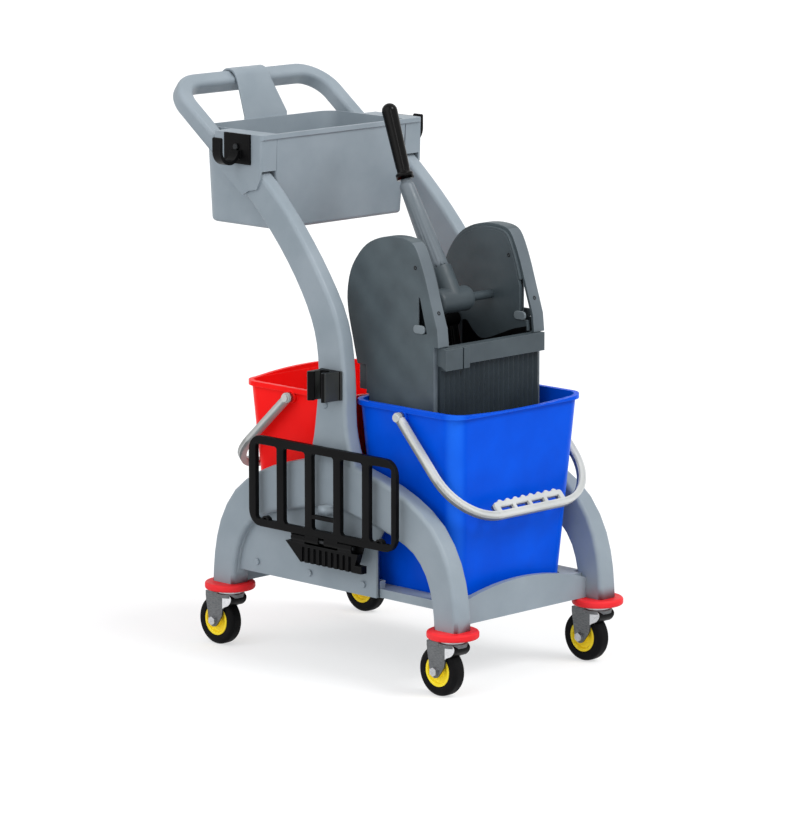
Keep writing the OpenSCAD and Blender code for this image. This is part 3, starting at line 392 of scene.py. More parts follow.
@dataclass(frozen=True)
class Plating:
    """Plated or brushed steel with fine streaks."""

    name: str
    light: Colour
    dark: Colour
    gloss: Pair
    stretch: Triple = (1.0, 1.0, 14.0)
    streak: Cloud = Cloud(160.0, 4.0, (0.3, 0.7))
    streak_depth: float = 0.00005
    streak_strength: float = 0.2
    gloss_cloud: Cloud = Cloud(70.0, 3.0, (0.3, 0.7))

    def build(self) -> bpy.types.Material:
        """Make the material.

        Returns:
            The finished material.
        """
        graph = Graph(self.name)
        streaks = graph.noise(self.streak.scale, self.streak.detail, self.stretch)
        surface = graph.tint(graph.remap(streaks, "Fac", self.streak.span), self.dark, self.light)
        graph.join(surface, graph.MIX_RESULT, graph.shader, "Base Color")
        graph.join(graph.spread(self.gloss_cloud, self.gloss), "Result", graph.shader, "Roughness")
        graph.bump(streaks, self.streak_depth, self.streak_strength)
        graph.shader.inputs["Metallic"].default_value = 1.0
        return graph.material


class Finish(Enum):
    """The finishes of the trolley."""

    FRAME_GREY = Moulding(
        "frame_grey", (144, 154, 162), (134, 145, 153), (0.36, 0.52), worn=(186, 195, 200)
    )
    SLATE = Moulding(
        "slate", (72, 82, 87), (61, 70, 75), (0.38, 0.55), grain_strength=0.35, worn=(128, 136, 140)
    )
    # The covers' bands paint faint diagonal stripes of light and shade in place of shallow ribs.
    SLATE_COVER = Moulding(
        "slate_cover", (78, 89, 94), (64, 73, 78), (0.38, 0.55), grain_strength=0.35, worn=(140, 148, 152),
        band=(0.0, 0.68, -0.733), rib_shading_period=0.046, rib_shading_share=0.16
    )
    # A lighter copy of the slate for the covers' front-facing band: painted light where the front lamps
    # fall.
    SLATE_BAND_LIT = Moulding("slate_band_painted_light", (98, 107, 113), (87, 96, 102), (0.36, 0.52), worn=(166, 174, 178))
    # A darker copy of the slate for the fluted front wall under the collar: painted shade.
    SLATE_WALL_SHADED = Moulding(
        "slate_wall_painted_shade", (42, 51, 56), (33, 41, 46), (0.42, 0.6), specular=0.18, worn=(84, 92, 97)
    )
    LEVER_GREY = Moulding("lever_grey", (110, 118, 125), (97, 106, 112), (0.3, 0.45), worn=(160, 168, 172))
    # The corner colours of the buckets paint a sheen on their rounded upright corners.
    BUCKET_BLUE = Moulding(
        "bucket_blue", (0, 85, 224), (0, 76, 210), (0.28, 0.4), grain_strength=0.1, specular=0.06,
        worn=(96, 150, 250), corner=(40, 122, 248), corner_sheen_share=0.5
    )
    BUCKET_RED = Moulding(
        "bucket_red", (255, 26, 24), (250, 18, 18), (0.28, 0.4), grain_strength=0.1, specular=0.06,
        worn=(255, 130, 120), corner=(255, 84, 76), corner_sheen_share=0.4
    )
    BUMPER_RED = Moulding(
        "bumper_red", (240, 46, 52), (224, 33, 40), (0.42, 0.6), specular=0.2, worn=(250, 130, 130)
    )
    HUB_YELLOW = Moulding(
        "hub_yellow", (255, 232, 48), (252, 214, 36), (0.3, 0.45), specular=0.2, worn=(255, 244, 160)
    )
    # A lighter copy of the slate for the lugs below the cover slots: a painted highlight.
    SLATE_LUG_HIGHLIT = Moulding("slate_lug_painted_highlight", (122, 131, 136), (108, 117, 122), (0.35, 0.5), worn=(190, 196, 200))
    BLACK = Moulding(
        "black_plastic", (13, 13, 14), (7, 7, 8), (0.3, 0.46), specular=0.07, worn=(70, 70, 72), wear=0.2
    )
    CLIP_FACE = Moulding(
        "clip_face", (54, 56, 55), (43, 45, 44), (0.4, 0.55), specular=0.22, worn=(90, 90, 88)
    )
    TYRE = Moulding(
        "tyre_black", (16, 16, 17), (8, 8, 9), (0.5, 0.7), grain_strength=0.4, specular=0.08,
        worn=(56, 56, 56)
    )
    BAIL_GREY = Moulding("bail_grey", (203, 204, 201), (188, 190, 188), (0.35, 0.5), worn=(232, 233, 230))
    GRIP = Moulding("grip_black", (6, 5, 5), (3, 3, 3), (0.2, 0.28), specular=0.13, worn=(60, 60, 62))
    ZINC = Plating("zinc", (206, 208, 210), (158, 160, 163), (0.3, 0.48))
    FORK_STEEL = Plating("fork_steel", (124, 126, 128), (84, 86, 88), (0.35, 0.55))
    # A light copy of the fork steel for the fork cheeks: a painted highlight.
    FORK_STEEL_HIGHLIT = Plating("fork_steel_painted_highlight", (232, 233, 235), (190, 192, 195), (0.25, 0.4))
    BLACKED_STEEL = Plating("blacked_steel", (64, 66, 68), (40, 42, 44), (0.4, 0.55))


class Edge(Enum):
    """How far a piece's sharp edges are rounded, in metres."""

    NONE = 0.0
    HAIR = 0.0002
    FINE = 0.0006
    SMALL = 0.0012
    MEDIUM = 0.0022


@dataclass(frozen=True)
class Rounding:
    """A wide rounding of chosen edges of a CAD node."""

    width: float
    picked: Picker
    steps: int = 5

    def apply(self, obj: bpy.types.Object) -> None:
        """Add the rounding to a node's modifiers.

        Args:
            obj: The node's object.
        """
        points = obj.data.vertices
        weights = obj.data.attributes.new("bevel_weight_edge", "FLOAT", "EDGE")
        for edge in obj.data.edges:
            first, second = (points[i].co for i in edge.vertices)
            weights.data[edge.index].value = 1.0 if self.picked(first, second) else 0.0
        bevel = obj.modifiers.new("rounding", "BEVEL")
        bevel.limit_method = "WEIGHT"
        bevel.width = self.width
        bevel.segments = self.steps


@dataclass
class Wardrobe:
    """Builds each finish once and puts it on CAD nodes and new pieces."""

    weld: float = 0.00002
    flat_angle: float = 0.4
    edge_steps: int = 2
    node_crease: float = 35.0
    piece_crease: float = 30.0
    made: dict[Finish, bpy.types.Material] = field(default_factory=dict)

    def material(self, finish: Finish) -> bpy.types.Material:
        """Give a finish's material, made at its first use.

        Args:
            finish: Which finish.

        Returns:
            The material.
        """
        if finish not in self.made:
            self.made[finish] = finish.value.build()
        return self.made[finish]

    def soften(self, obj: bpy.types.Object, edge: Edge, crease: float) -> None:
        """Round a piece's sharp edges and shade the rest smoothly.

        Args:
            obj: The piece.
            edge: How far its edges are rounded.
            crease: Angle in degrees above which an edge is sharp.
        """
        if edge is not Edge.NONE:
            bevel = obj.modifiers.new("edges", "BEVEL")
            bevel.width = edge.value
            bevel.segments = self.edge_steps
            bevel.limit_method = "ANGLE"
            bevel.angle_limit = math.radians(crease)
            bevel.harden_normals = True
        smooth = obj.modifiers.new("shading", "WEIGHTED_NORMAL")
        smooth.keep_sharp = True
        obj.data.shade_smooth()

    def dress(
        self, node: str, finish: Finish, edge: Edge, crease: float = node_crease,
        rounding: Rounding | None = None
    ) -> None:
        """Put a finish on a CAD node and round its edges for the eye.

        Args:
            node: Name of the CAD node.
            finish: Which finish.
            edge: How far its edges are rounded.
            crease: Angle in degrees above which an edge is sharp.
            rounding: A wider rounding of some of its edges.
        """
        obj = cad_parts[node]
        obj.data.materials.clear()
        obj.data.materials.append(self.material(finish))
        weld = obj.modifiers.new("weld", "WELD")
        weld.merge_threshold = self.weld
        flat = obj.modifiers.new("flats", "DECIMATE")
        flat.decimate_type = "DISSOLVE"
        flat.angle_limit = math.radians(self.flat_angle)
        flat.delimit = {"MATERIAL"}
        if rounding is not None:
            rounding.apply(obj)
        self.soften(obj, edge, crease)
        LOG.info("dressed %s in %s", node, finish.value.name)

    def finish_piece(self, obj: bpy.types.Object, finish: Finish, edge: Edge, body: str) -> None:
        """Finish a new piece and let it ride on its body.

        Args:
            obj: The piece.
            finish: Which finish.
            edge: How far its edges are rounded.
            body: Name of the body that carries it.
        """
        obj.data.materials.append(self.material(finish))
        self.soften(obj, edge, self.piece_crease)
        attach(obj, body)
        LOG.info("made %s in %s", obj.name, finish.value.name)

    def accent(self, node: str, finish: Finish, picked: Picker) -> None:
        """Give some faces of a dressed node a finish of their own.

        Args:
            node: Name of the CAD node.
            finish: The finish of those faces.
            picked: Says from a face's middle and normal whether it takes that finish.
        """
        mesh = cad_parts[node].data
        mesh.materials.append(self.material(finish))
        index = len(mesh.materials) - 1
        for face in mesh.polygons:
            if picked(face.center, face.normal):
                face.material_index = index
        LOG.info("accent on %s in %s", node, finish.value.name)


def add_object(name: str, data: bpy.types.ID) -> bpy.types.Object:
    """Put a new object into the scene.

    Args:
        name: Name of the object.
        data: Its mesh, lamp or camera.

    Returns:
        The object.
    """
    obj = bpy.data.objects.new(name, data)
    bpy.context.scene.collection.objects.link(obj)
    return obj


def turn_faces_out(mesh: bpy.types.Mesh, weld: float = 0.0) -> None:
    """Let all the faces of a closed mesh look outward.

    Args:
        mesh: The mesh.
        weld: Points closer than this, in metres, are joined first.
    """
    work = bmesh.new()
    work.from_mesh(mesh)
    if weld > 0.0:
        bmesh.ops.remove_doubles(work, verts=work.verts, dist=weld)
    bmesh.ops.recalc_face_normals(work, faces=work.faces)
    work.to_mesh(mesh)
    work.free()


def smooth_line(points: Points, steps: int) -> Outline:
    """Run a smooth curve through points.

    Args:
        points: Points in order.
        steps: Steps from one point to the next.

    Returns:
        Points of the curve.
    """

    def between(a: float, b: float, c: float, d: float, t: float) -> float:
        """Give a value on the curve between two points.

        Args:
            a: Value at the point before them.
            b: Value at the first of them.
            c: Value at the second.
            d: Value at the point after them.
            t: Share of the way from the first to the second.

        Returns:
            The value there.
        """
        square = (2 * a - 5 * b + 4 * c - d) * t * t
        cube = (3 * b - a - 3 * c + d) * t ** 3
        return 0.5 * (2 * b + (c - a) * t + square + cube)

    last = len(points) - 1
    curve = []
    for i in range(last):
        near = [points[max(0, min(last, i + k))] for k in (-1, 0, 1, 2)]
        for step in range(steps):
            curve.append(tuple(between(*values, step / steps) for values in zip(*near)))
    return [*curve, points[last]]


def round_outline(middle: Pair, half: Pair, radius: float, steps: int = 8) -> Outline:
    """Draw a rectangle with round corners.

    Args:
        middle: Its middle, in millimetres.
        half: Half its length and half its height.
        radius: Radius of its corners.
        steps: Steps round each corner.

    Returns:
        Points round the outline.
    """
    points = []
    for quarter, (sx, sy) in enumerate(((1, 1), (-1, 1), (-1, -1), (1, -1))):
        for step in range(steps + 1):
            a = math.radians(90 * (quarter + step / steps))
            points.append((
                middle[0] + sx * (half[0] - radius) + radius * math.cos(a),
                middle[1] + sy * (half[1] - radius) + radius * math.sin(a),
            ))
    return points


def plate_across(name: str, outline: Outline, x0: float, x1: float) -> bpy.types.Object:
    """Make a plate square to X from an outline seen from the side.

    Args:
        name: Name of the piece.
        outline: Points (y, z) in order, in millimetres.
        x0: One face of the plate.
        x1: Its other face.

    Returns:
        The plate's object.
    """
    count = len(outline)
    points = [(x * MM, y * MM, z * MM) for x in (min(x0, x1), max(x0, x1)) for y, z in outline]
    sides = [(i, (i + 1) % count, count + (i + 1) % count, count + i) for i in range(count)]
    mesh = bpy.data.meshes.new(name)
    mesh.from_pydata(points, [], [tuple(range(count)), tuple(range(2 * count - 1, count - 1, -1)), *sides])
    turn_faces_out(mesh)
    return add_object(name, mesh)


def cut_plate(
    name: str, outline: Outline, windows: list[Outline], x_range: Pair, rounding: float, weld: float = 1e-6
) -> bpy.types.Object:
    """Make a plate square to X with windows in it and round edges.

    Args:
        name: Name of the piece.
        outline: Points (y, z) round the plate, in millimetres.
        windows: Points round each window.
        x_range: Its two faces.
        rounding: How far its edges are rounded.
        weld: Points closer than this, in metres, are joined.

    Returns:
        The plate's object.
    """
    data = bpy.data.curves.new(name, "CURVE")
    data.dimensions = "2D"
    data.fill_mode = "BOTH"
    data.extrude = ((x_range[1] - x_range[0]) / 2 - rounding) * MM
    data.bevel_depth = rounding * MM
    data.bevel_resolution = 1
    data.offset = -rounding * MM
    for points in (outline, *windows):
        spline = data.splines.new("POLY")
        spline.points.add(len(points) - 1)
        spline.use_cyclic_u = True
        for point, (y, z) in zip(spline.points, points):
            point.co = (y * MM, z * MM, 0.0, 1.0)
    drawing = bpy.data.objects.new(name + "_outline", data)
    mesh = bpy.data.meshes.new_from_object(drawing)
    bpy.data.objects.remove(drawing)
    bpy.data.curves.remove(data)
    middle = (x_range[0] + x_range[1]) / 2 * MM
    mesh.transform(Matrix(((0, 0, 1, middle), (1, 0, 0, 0), (0, 1, 0, 0), (0, 0, 0, 1))))
    turn_faces_out(mesh, weld)
    return add_object(name, mesh)


def turned(
    name: str, base: Vector, axis: Vector, profile: Outline | Points, sides: int
) -> bpy.types.Object:
    """Turn a closed form round an axis.

    Args:
        name: Name of the piece.
        base: Point on the axis from which the profile is measured, in millimetres.
        axis: Direction of the axis.
        profile: Points (distance along the axis, radius); both ends lie on the axis.
        sides: Faces round the form.

    Returns:
        The form's object.
    """
    along = axis.normalized()
    first = along.orthogonal().normalized()
    second = along.cross(first)
    work = bmesh.new()
    rings = []
    for distance, radius in profile:
        middle = base + along * distance
        ring = []
        for i in range(1 if radius == 0.0 else sides):
            t = math.tau * i / sides
            outward = first * math.cos(t) + second * math.sin(t)
            ring.append(work.verts.new((middle + outward * radius) * MM))
        rings.append(ring)
    for low, high in zip(rings, rings[1:]):
        for i in range(sides):
            start = (low[i % len(low)], low[(i + 1) % len(low)])
            end = (high[(i + 1) % len(high)], high[i % len(high)])
            work.faces.new(list(dict.fromkeys((*start, *end))))
    bmesh.ops.recalc_face_normals(work, faces=work.faces)
    mesh = bpy.data.meshes.new(name)
    work.to_mesh(mesh)
    work.free()
    return add_object(name, mesh)


@dataclass
class Chassis:
    """Deck, side frames, tray, handle and the small black fittings."""

    greys: tuple[str, ...] = ("base_deck", "tray", "handle_bridge")
    smooth_greys: tuple[str, ...] = ("left_side_frame", "right_side_frame", "push_handle")
    blacks: tuple[str, ...] = ("left_hook", "right_hook", "mop_clip", "rack_bracket", "side_rack")
    clip_facing: float = -0.9
    tray_base: float = 0.6845
    tray_round: float = 0.009
    hook_level: float = 0.75
    apron_outline: Points = ((82, 222), (-86, 222), (-80, 203), (76, 203))
    apron_x: Pair = (-193.4, -190.9)
    boss_base: Triple = (-183.0, 12.0, 428.0)
    boss_axis: Triple = (-1.0, 0.0, 0.0)
    boss_profile: Points = ((-1.0, 0.0), (-1.0, 6.0), (1.6, 5.6), (2.8, 3.6), (3.2, 0.0))
    boss_sides: int = 28

    def round_tray(self) -> Rounding:
        """Choose the tray's lower edges.

        Returns:
            Their rounding.
        """
        return Rounding(self.tray_round, lambda first, second: max(first.z, second.z) < self.tray_base)

    def add_fittings(self, wardrobe: Wardrobe) -> None:
        """Close the bracket behind the rack's hinge with its apron and set the boss below the mop clip.

        Args:
            wardrobe: The finishes.
        """
        apron = plate_across("bracket_apron", list(self.apron_outline), *self.apron_x)
        wardrobe.finish_piece(apron, Finish.BLACK, Edge.FINE, "chassis")
        base, axis = Vector(self.boss_base), Vector(self.boss_axis)
        boss = turned("clip_boss", base, axis, self.boss_profile, self.boss_sides)
        wardrobe.finish_piece(boss, Finish.FRAME_GREY, Edge.NONE, "chassis")

    def dress(self, wardrobe: Wardrobe) -> None:
        """Finish the chassis.

        Args:
            wardrobe: The finishes.
        """
        for node in self.greys:
            rounding = self.round_tray() if node == "tray" else None
            wardrobe.dress(node, Finish.FRAME_GREY, Edge.SMALL, rounding=rounding)
        for node in self.smooth_greys:
            wardrobe.dress(node, Finish.FRAME_GREY, Edge.NONE)
        for node in self.blacks:
            wardrobe.dress(node, Finish.BLACK, Edge.SMALL)
        wardrobe.accent("mop_clip", Finish.CLIP_FACE, lambda middle, normal: normal.y < self.clip_facing)
        wardrobe.dress("rack_hinge_pin", Finish.BLACKED_STEEL, Edge.FINE)
        wardrobe.dress("frame_bolts", Finish.FRAME_GREY, Edge.FINE)
        wardrobe.accent(
            "frame_bolts", Finish.BLACKED_STEEL, lambda middle, normal: middle.z > self.hook_level
        )
        self.add_fittings(wardrobe)
        for corner in CORNERS:
            wardrobe.dress(f"{corner}_bumper", Finish.BUMPER_RED, Edge.NONE)


@dataclass
class Rack:
    """The wide flat bars on the folding side rack, in millimetres."""

    half: Pair = (164.0, 73.0)
    middle: Pair = (0.0, 292.0)
    corner: float = 25.0
    corner_steps: int = 10
    bars: int = 6
    bar: float = 10.0
    widened: float = 5.5
    top_bar: float = 13.5
    low_bar: float = 12.0
    window_corner: float = 5.0
    window_steps: int = 5
    faces: Pair = (-204.4, -195.6)
    rounding: float = 1.2

    def windows(self) -> list[Outline]:
        """Draw the windows between the bars.

        Returns:
            Points round each window.
        """
        pitch = (2 * self.half[0] - self.bar) / (self.bars - 1)
        low = self.middle[1] - self.half[1] + self.low_bar
        high = self.middle[1] + self.half[1] - self.top_bar
        half = ((pitch - self.bar - self.widened) / 2, (high - low) / 2)
        drawn = []
        for i in range(self.bars - 1):
            start = self.middle[0] - self.half[0] + self.bar + i * pitch
            centre = (start + half[0], (low + high) / 2)
            drawn.append(round_outline(centre, half, self.window_corner, self.window_steps))
        return drawn

    def dress(self, wardrobe: Wardrobe) -> None:
        """Put the bars on the rack.

        Args:
            wardrobe: The finishes.
        """
        outline = round_outline(self.middle, self.half, self.corner, self.corner_steps)
        bars = cut_plate("rack_bars", outline, self.windows(), self.faces, self.rounding)
        wardrobe.finish_piece(bars, Finish.BLACK, Edge.NONE, "rack")


@dataclass
class Castors:
    """The four swivel castors. Outlines are (y, z) in millimetres, with y from the stem's axis."""

    guard_ring: Pair = (0.0415, 0.0465)
    crown_low: float = 0.0818
    cheek_low: Points = ((-9.4, 68.0), (-3.0, 65.4), (3.0, 61.0), (9.0, 54.0))
    cheek_top: Points = ((9.0, 54.0), (4.0, 87.6))
    cheek_steps: int = 4
    hood_line: Points = ((-14.0, 87.6), (-18.6, 82.6), (-18.2, 77.0), (-14.4, 71.6), (-9.4, 68.0))
    hood_steps: int = 5
    hood_t: float = 2.2
    nut: float = 5.0
    plate: float = 3.0
    cheek_proud: float = 0.15
    strap_proud: float = 0.4
    strap_edge: Points = ((40.2, 87.6), (40.2, 80.0))
    strap_front: Points = ((6.0, 45.0), (2.6, 51.0), (1.5, 58.0), (1.5, 87.6))
    eye: float = 10.3
    eye_turns: tuple[int, ...] = (-15, -40, -65, -90, -115, -140)

    def strap(self, trail: float, axle_z: float) -> Outline:
        """Draw the straight strap that holds the axle.

        Args:
            trail: Place of the axle behind the stem.
            axle_z: Its height.

        Returns:
            Points round the strap.
        """
        turns = [math.radians(a) for a in self.eye_turns]
        eye = [(trail + self.eye * math.cos(a), axle_z + self.eye * math.sin(a)) for a in turns]
        return [*self.strap_edge, *eye, *self.strap_front]

    def add_plates(self, wardrobe: Wardrobe, corner: str) -> None:
        """Set the fork's straps, the cheeks before them, which take a light copy of the fork steel as a
        painted highlight, and the black hood before the wheel.

        Args:
            wardrobe: The finishes.
            corner: Which castor.
        """
        low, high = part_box(f"{corner}_stem")
        x, y = ((low[i] + high[i]) / 2 / MM for i in (0, 1))
        low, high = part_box(f"{corner}_axle")
        axle_y, axle_z = ((low[i] + high[i]) / 2 / MM for i in (1, 2))
        out = (high[0] - low[0]) / 2 / MM - self.nut
        near = out - self.plate + self.cheek_proud
        line = smooth_line(self.hood_line, self.hood_steps)
        cheek = [*line, *smooth_line(self.cheek_low, self.cheek_steps)[1:-1], *self.cheek_top]
        # The cheeks carry a painted highlight in a light copy of the fork steel; the straps keep the plain
        # fork steel.
        plates = (
            ("fork_highlit_cheek", cheek, out + self.cheek_proud, Finish.FORK_STEEL_HIGHLIT),
            ("fork_strap", self.strap(axle_y - y, axle_z), out + self.strap_proud, Finish.FORK_STEEL),
        )
        for side, sign in SIDES:
            for name, outline, face, finish in plates:
                placed = [(b + y, z) for b, z in outline]
                plate = plate_across(f"{corner}_{side}_{name}", placed, x + sign * near, x + sign * face)
                wardrobe.finish_piece(plate, finish, Edge.HAIR, f"{corner}_castor")
        front = [(b - self.hood_t, z) for b, z in reversed(line)]
        hood = plate_across(f"{corner}_hood", [(b + y, z) for b, z in (*line, *front)], x - out, x + out)
        wardrobe.finish_piece(hood, Finish.BLACK, Edge.FINE, f"{corner}_castor")

    def on_guard(self, corner: str) -> Picker:
        """Tell the faces of a fork's wheel guard from the rest.

        Args:
            corner: Which castor.

        Returns:
            A test on a face's middle and normal.
        """
        low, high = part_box(f"{corner}_tyre")
        axle_y = (low[1] + high[1]) / 2
        axle_z = (low[2] + high[2]) / 2

        def picked(middle: Vector, normal: Vector) -> bool:
            """Say whether a face lies in the guard's ring, before the axle and below the crown.

            Args:
                middle: Middle of the face.
                normal: Its normal; not used.

            Returns:
                Whether it does.
            """
            ahead = middle.y < axle_y and middle.z < self.crown_low
            away = math.hypot(middle.y - axle_y, middle.z - axle_z)
            return ahead and self.guard_ring[0] < away < self.guard_ring[1]

        return picked

    def dress(self, wardrobe: Wardrobe) -> None:
        """Finish the castors.

        Args:
            wardrobe: The finishes.
        """
        for corner in CORNERS:
            wardrobe.dress(f"{corner}_stem", Finish.ZINC, Edge.FINE)
            wardrobe.dress(f"{corner}_fork", Finish.FORK_STEEL, Edge.FINE)
            wardrobe.accent(f"{corner}_fork", Finish.BLACK, self.on_guard(corner))
            wardrobe.dress(f"{corner}_axle", Finish.ZINC, Edge.FINE)
            wardrobe.dress(f"{corner}_hub", Finish.HUB_YELLOW, Edge.FINE)
            wardrobe.dress(f"{corner}_tyre", Finish.TYRE, Edge.NONE)
            self.add_plates(wardrobe, corner)


@dataclass
class Buckets:
    """The two buckets and their bails."""

    crease: float = 40.0

    def dress(self, wardrobe: Wardrobe) -> None:
        """Finish the buckets.

        Args:
            wardrobe: The finishes.
        """
        for name, finish in (("blue", Finish.BUCKET_BLUE), ("red", Finish.BUCKET_RED)):
            wardrobe.dress(f"{name}_bucket", finish, Edge.SMALL, self.crease)
            wardrobe.dress(f"{name}_bail", Finish.BAIL_GREY, Edge.NONE)
            wardrobe.dress(f"{name}_bail_pins", Finish.BAIL_GREY, Edge.FINE)


@dataclass
class Wringer:
    """The press wringer with its gears and lever. Outlines are (y, z) in millimetres."""

    steels: tuple[str, ...] = ("plate_shaft", "plate_gears", "lever_gears")
    wall_y: float = -0.1642
    wall_top: float = 0.5015
    lit_band_facing: float = -0.6
    # Black sheets on the inner cheeks paint the shade in the throat; their wavy upper edge follows where
    # the shade ends.
    shade_sheet_edge: Points = (
        (-24, 536), (-34, 536), (-48, 521), (-69, 511), (-109, 524), (-132, 533), (-163, 541)
    )
    shade_sheet_steps: int = 6
    shade_sheet_low: float = 392.0
    shade_sheet_faces: Pair = (89.0, 89.95)
    lug_half: Pair = (12.0, 6.5)
    lug_round: float = 6.0
    lug_z: float = 557.0
    lug_seats: tuple[tuple[str, float, Pair], ...] = (
        ("outer", -134.0, (119.5, 122.5)), ("inner", -150.0, (87.0, 90.5))
    )
    rim_curve: Points = (
        (-144, 180), (-137, 201), (-127, 226), (-114, 249), (-96, 257.5), (-65, 259), (-35, 253.5),
        (-8, 241), (12, 221), (27, 196), (34, 163), (32, 131), (21, 86)
    )
    rim_steps: int = 4
    rim_origin: Pair = (-8.0, 437.0)
    rim_core: Pair = (-62.0, 123.0)
    rim_drawn: Pair = (4.9, 11.0)
    rim_faces: Pair = (90.6, 97.5)
    screw_profile: Points = (
        (-1.0, 0.0), (-1.0, 3.2), (0.5, 3.2), (0.9, 2.7), (0.9, 1.6), (-0.4, 1.4), (-0.4, 0.0)
    )
    screw_sides: int = 24
    screw_seats: tuple[tuple[str, Triple, Triple], ...] = (
        ("band", (108.0, -163.0, 584.0), (0.0, -0.949, 0.316)),
        ("outer", (120.0, -124.0, 652.0), (1.0, 0.0, 0.0)),
        ("inner", (90.0, -124.0, 650.0), (-1.0, 0.0, 0.0)),
    )
    grip_base: Triple = (0.0, 11.6, 753.4)
    grip_axis: Triple = (0.0, 0.3157, 0.9489)
    grip_span: Pair = (31.0, 124.0)
    grip_radii: Pair = (11.0, 12.5)
    grip_lip: float = 1.0
    grip_sides: int = 36
    dome_turns: range = range(0, 90, 10)

    def paint_throat_shade(self, wardrobe: Wardrobe) -> None:
        """Lay black sheets on the inner cheeks as painted shade in the throat; their upper edge is wavy.

        Args:
            wardrobe: The finishes.
        """
        top = smooth_line(self.shade_sheet_edge, self.shade_sheet_steps)
        outline = [*top, (top[-1][0], self.shade_sheet_low), (top[0][0], self.shade_sheet_low)]
        for side, sign in SIDES:
            # Painted shade: a thin black sheet on each inner cheek.
            shade_sheet = plate_across(f"{side}_throat_shade_sheet", outline, *(sign * x for x in self.shade_sheet_faces))
            wardrobe.finish_piece(shade_sheet, Finish.BLACK, Edge.HAIR, "wringer")

    def add_lugs(self, wardrobe: Wardrobe) -> None:
        """Set the rounded lugs below the slots of the covers, in a lighter copy of the slate as a painted
        highlight.

        Args:
            wardrobe: The finishes.
        """
        for side, sign in SIDES:
            for place, y, faces in self.lug_seats:
                outline = round_outline((y, self.lug_z), self.lug_half, self.lug_round)
                lug = plate_across(f"{side}_{place}_lug", outline, *(sign * x for x in faces))
                wardrobe.finish_piece(lug, Finish.SLATE_LUG_HIGHLIT, Edge.FINE, "wringer")

    def drawn_rim(self, depth: float) -> Outline:
        """Draw the upper edge of a gear cover, drawn in towards the cover's core.

        Args:
            depth: How far it is drawn in.

        Returns:
            Points along the edge, from the front to the rear.
        """
        core = Vector(self.rim_core)
        origin = Vector(self.rim_origin)
        curve = [Vector(p) for p in smooth_line(self.rim_curve, self.rim_steps)]
        return [tuple(p + (core - p).normalized() * depth + origin) for p in curve]

    def close_rims(self, wardrobe: Wardrobe) -> None:
        """Close the slit between each inner cheek and the rim of its cover.

        Args:
            wardrobe: The finishes.
        """
        outer, inner = (self.drawn_rim(depth) for depth in self.rim_drawn)
        outline = [*outer, *reversed(inner)]
        for side, sign in SIDES:
            rim = plate_across(f"{side}_cheek_rim", outline, *(sign * x for x in self.rim_faces))
            wardrobe.finish_piece(rim, Finish.SLATE, Edge.FINE, "wringer")

    def add_screws(self, wardrobe: Wardrobe) -> None:
        """Drive the socket screws into the covers and the inner cheeks.

        Args:
            wardrobe: The finishes.
        """
        for side, sign in SIDES:
            for place, (x, y, z), (dx, dy, dz) in self.screw_seats:
                base, axis = Vector((sign * x, y, z)), Vector((sign * dx, dy, dz))
                screw = turned(f"{side}_{place}_screw", base, axis, self.screw_profile, self.screw_sides)
                wardrobe.finish_piece(screw, Finish.BLACKED_STEEL, Edge.NONE, "wringer")

    def sleeve_grip(self, wardrobe: Wardrobe) -> None:
        """Slip the smooth sleeve over the lever's grip.

        Args:
            wardrobe: The finishes.
        """
        start, end = self.grip_span
        thin, thick = self.grip_radii
        turns = [math.radians(a) for a in self.dome_turns]
        profile = [
            (start, 0.0), (start, thin - self.grip_lip), (start + self.grip_lip, thin),
            *((end + thick * math.sin(a), thick * math.cos(a)) for a in turns),
            (end + thick, 0.0),
        ]
        base, axis = Vector(self.grip_base), Vector(self.grip_axis)
        sleeve = turned("grip_sleeve", base, axis, profile, self.grip_sides)
        wardrobe.finish_piece(sleeve, Finish.GRIP, Edge.NONE, "lever")

    def on_wall(self, middle: Vector, normal: Vector) -> bool:
        """Say whether a face of the frame lies on the fluted front wall, which takes the darker copy of
        the slate as painted shade.

        Args:
            middle: Middle of the face.
            normal: Its normal; not used.

        Returns:
            Whether it does.
        """
        return middle.y < self.wall_y and middle.z < self.wall_top

    def dress(self, wardrobe: Wardrobe) -> None:
        """Finish the wringer.

        Args:
            wardrobe: The finishes.
        """
        wardrobe.dress("wringer_frame", Finish.SLATE, Edge.SMALL)
        # Painted shade: the fluted wall under the collar takes the darker copy of the slate.
        wardrobe.accent("wringer_frame", Finish.SLATE_WALL_SHADED, self.on_wall)
        for side, _ in SIDES:
            cover = f"{side}_gear_cover"
            wardrobe.dress(cover, Finish.SLATE_COVER, Edge.MEDIUM)
            # Painted light: faces of the covers that face the front take the lighter copy of the slate.
            wardrobe.accent(cover, Finish.SLATE_BAND_LIT, lambda middle, normal: normal.y < self.lit_band_facing)
        for node in self.steels:
            wardrobe.dress(node, Finish.BLACKED_STEEL, Edge.FINE)
        wardrobe.dress("press_plate", Finish.BLACK, Edge.SMALL)
        wardrobe.dress("lever_yoke", Finish.SLATE, Edge.FINE)
        wardrobe.dress("lever_axle", Finish.SLATE, Edge.FINE)
        wardrobe.dress("lever_tube", Finish.LEVER_GREY, Edge.NONE)
        wardrobe.dress("lever_grip", Finish.GRIP, Edge.NONE)
        self.paint_throat_shade(wardrobe)
        self.add_lugs(wardrobe)
        self.close_rims(wardrobe)
        self.add_screws(wardrobe)
        self.sleeve_grip(wardrobe)


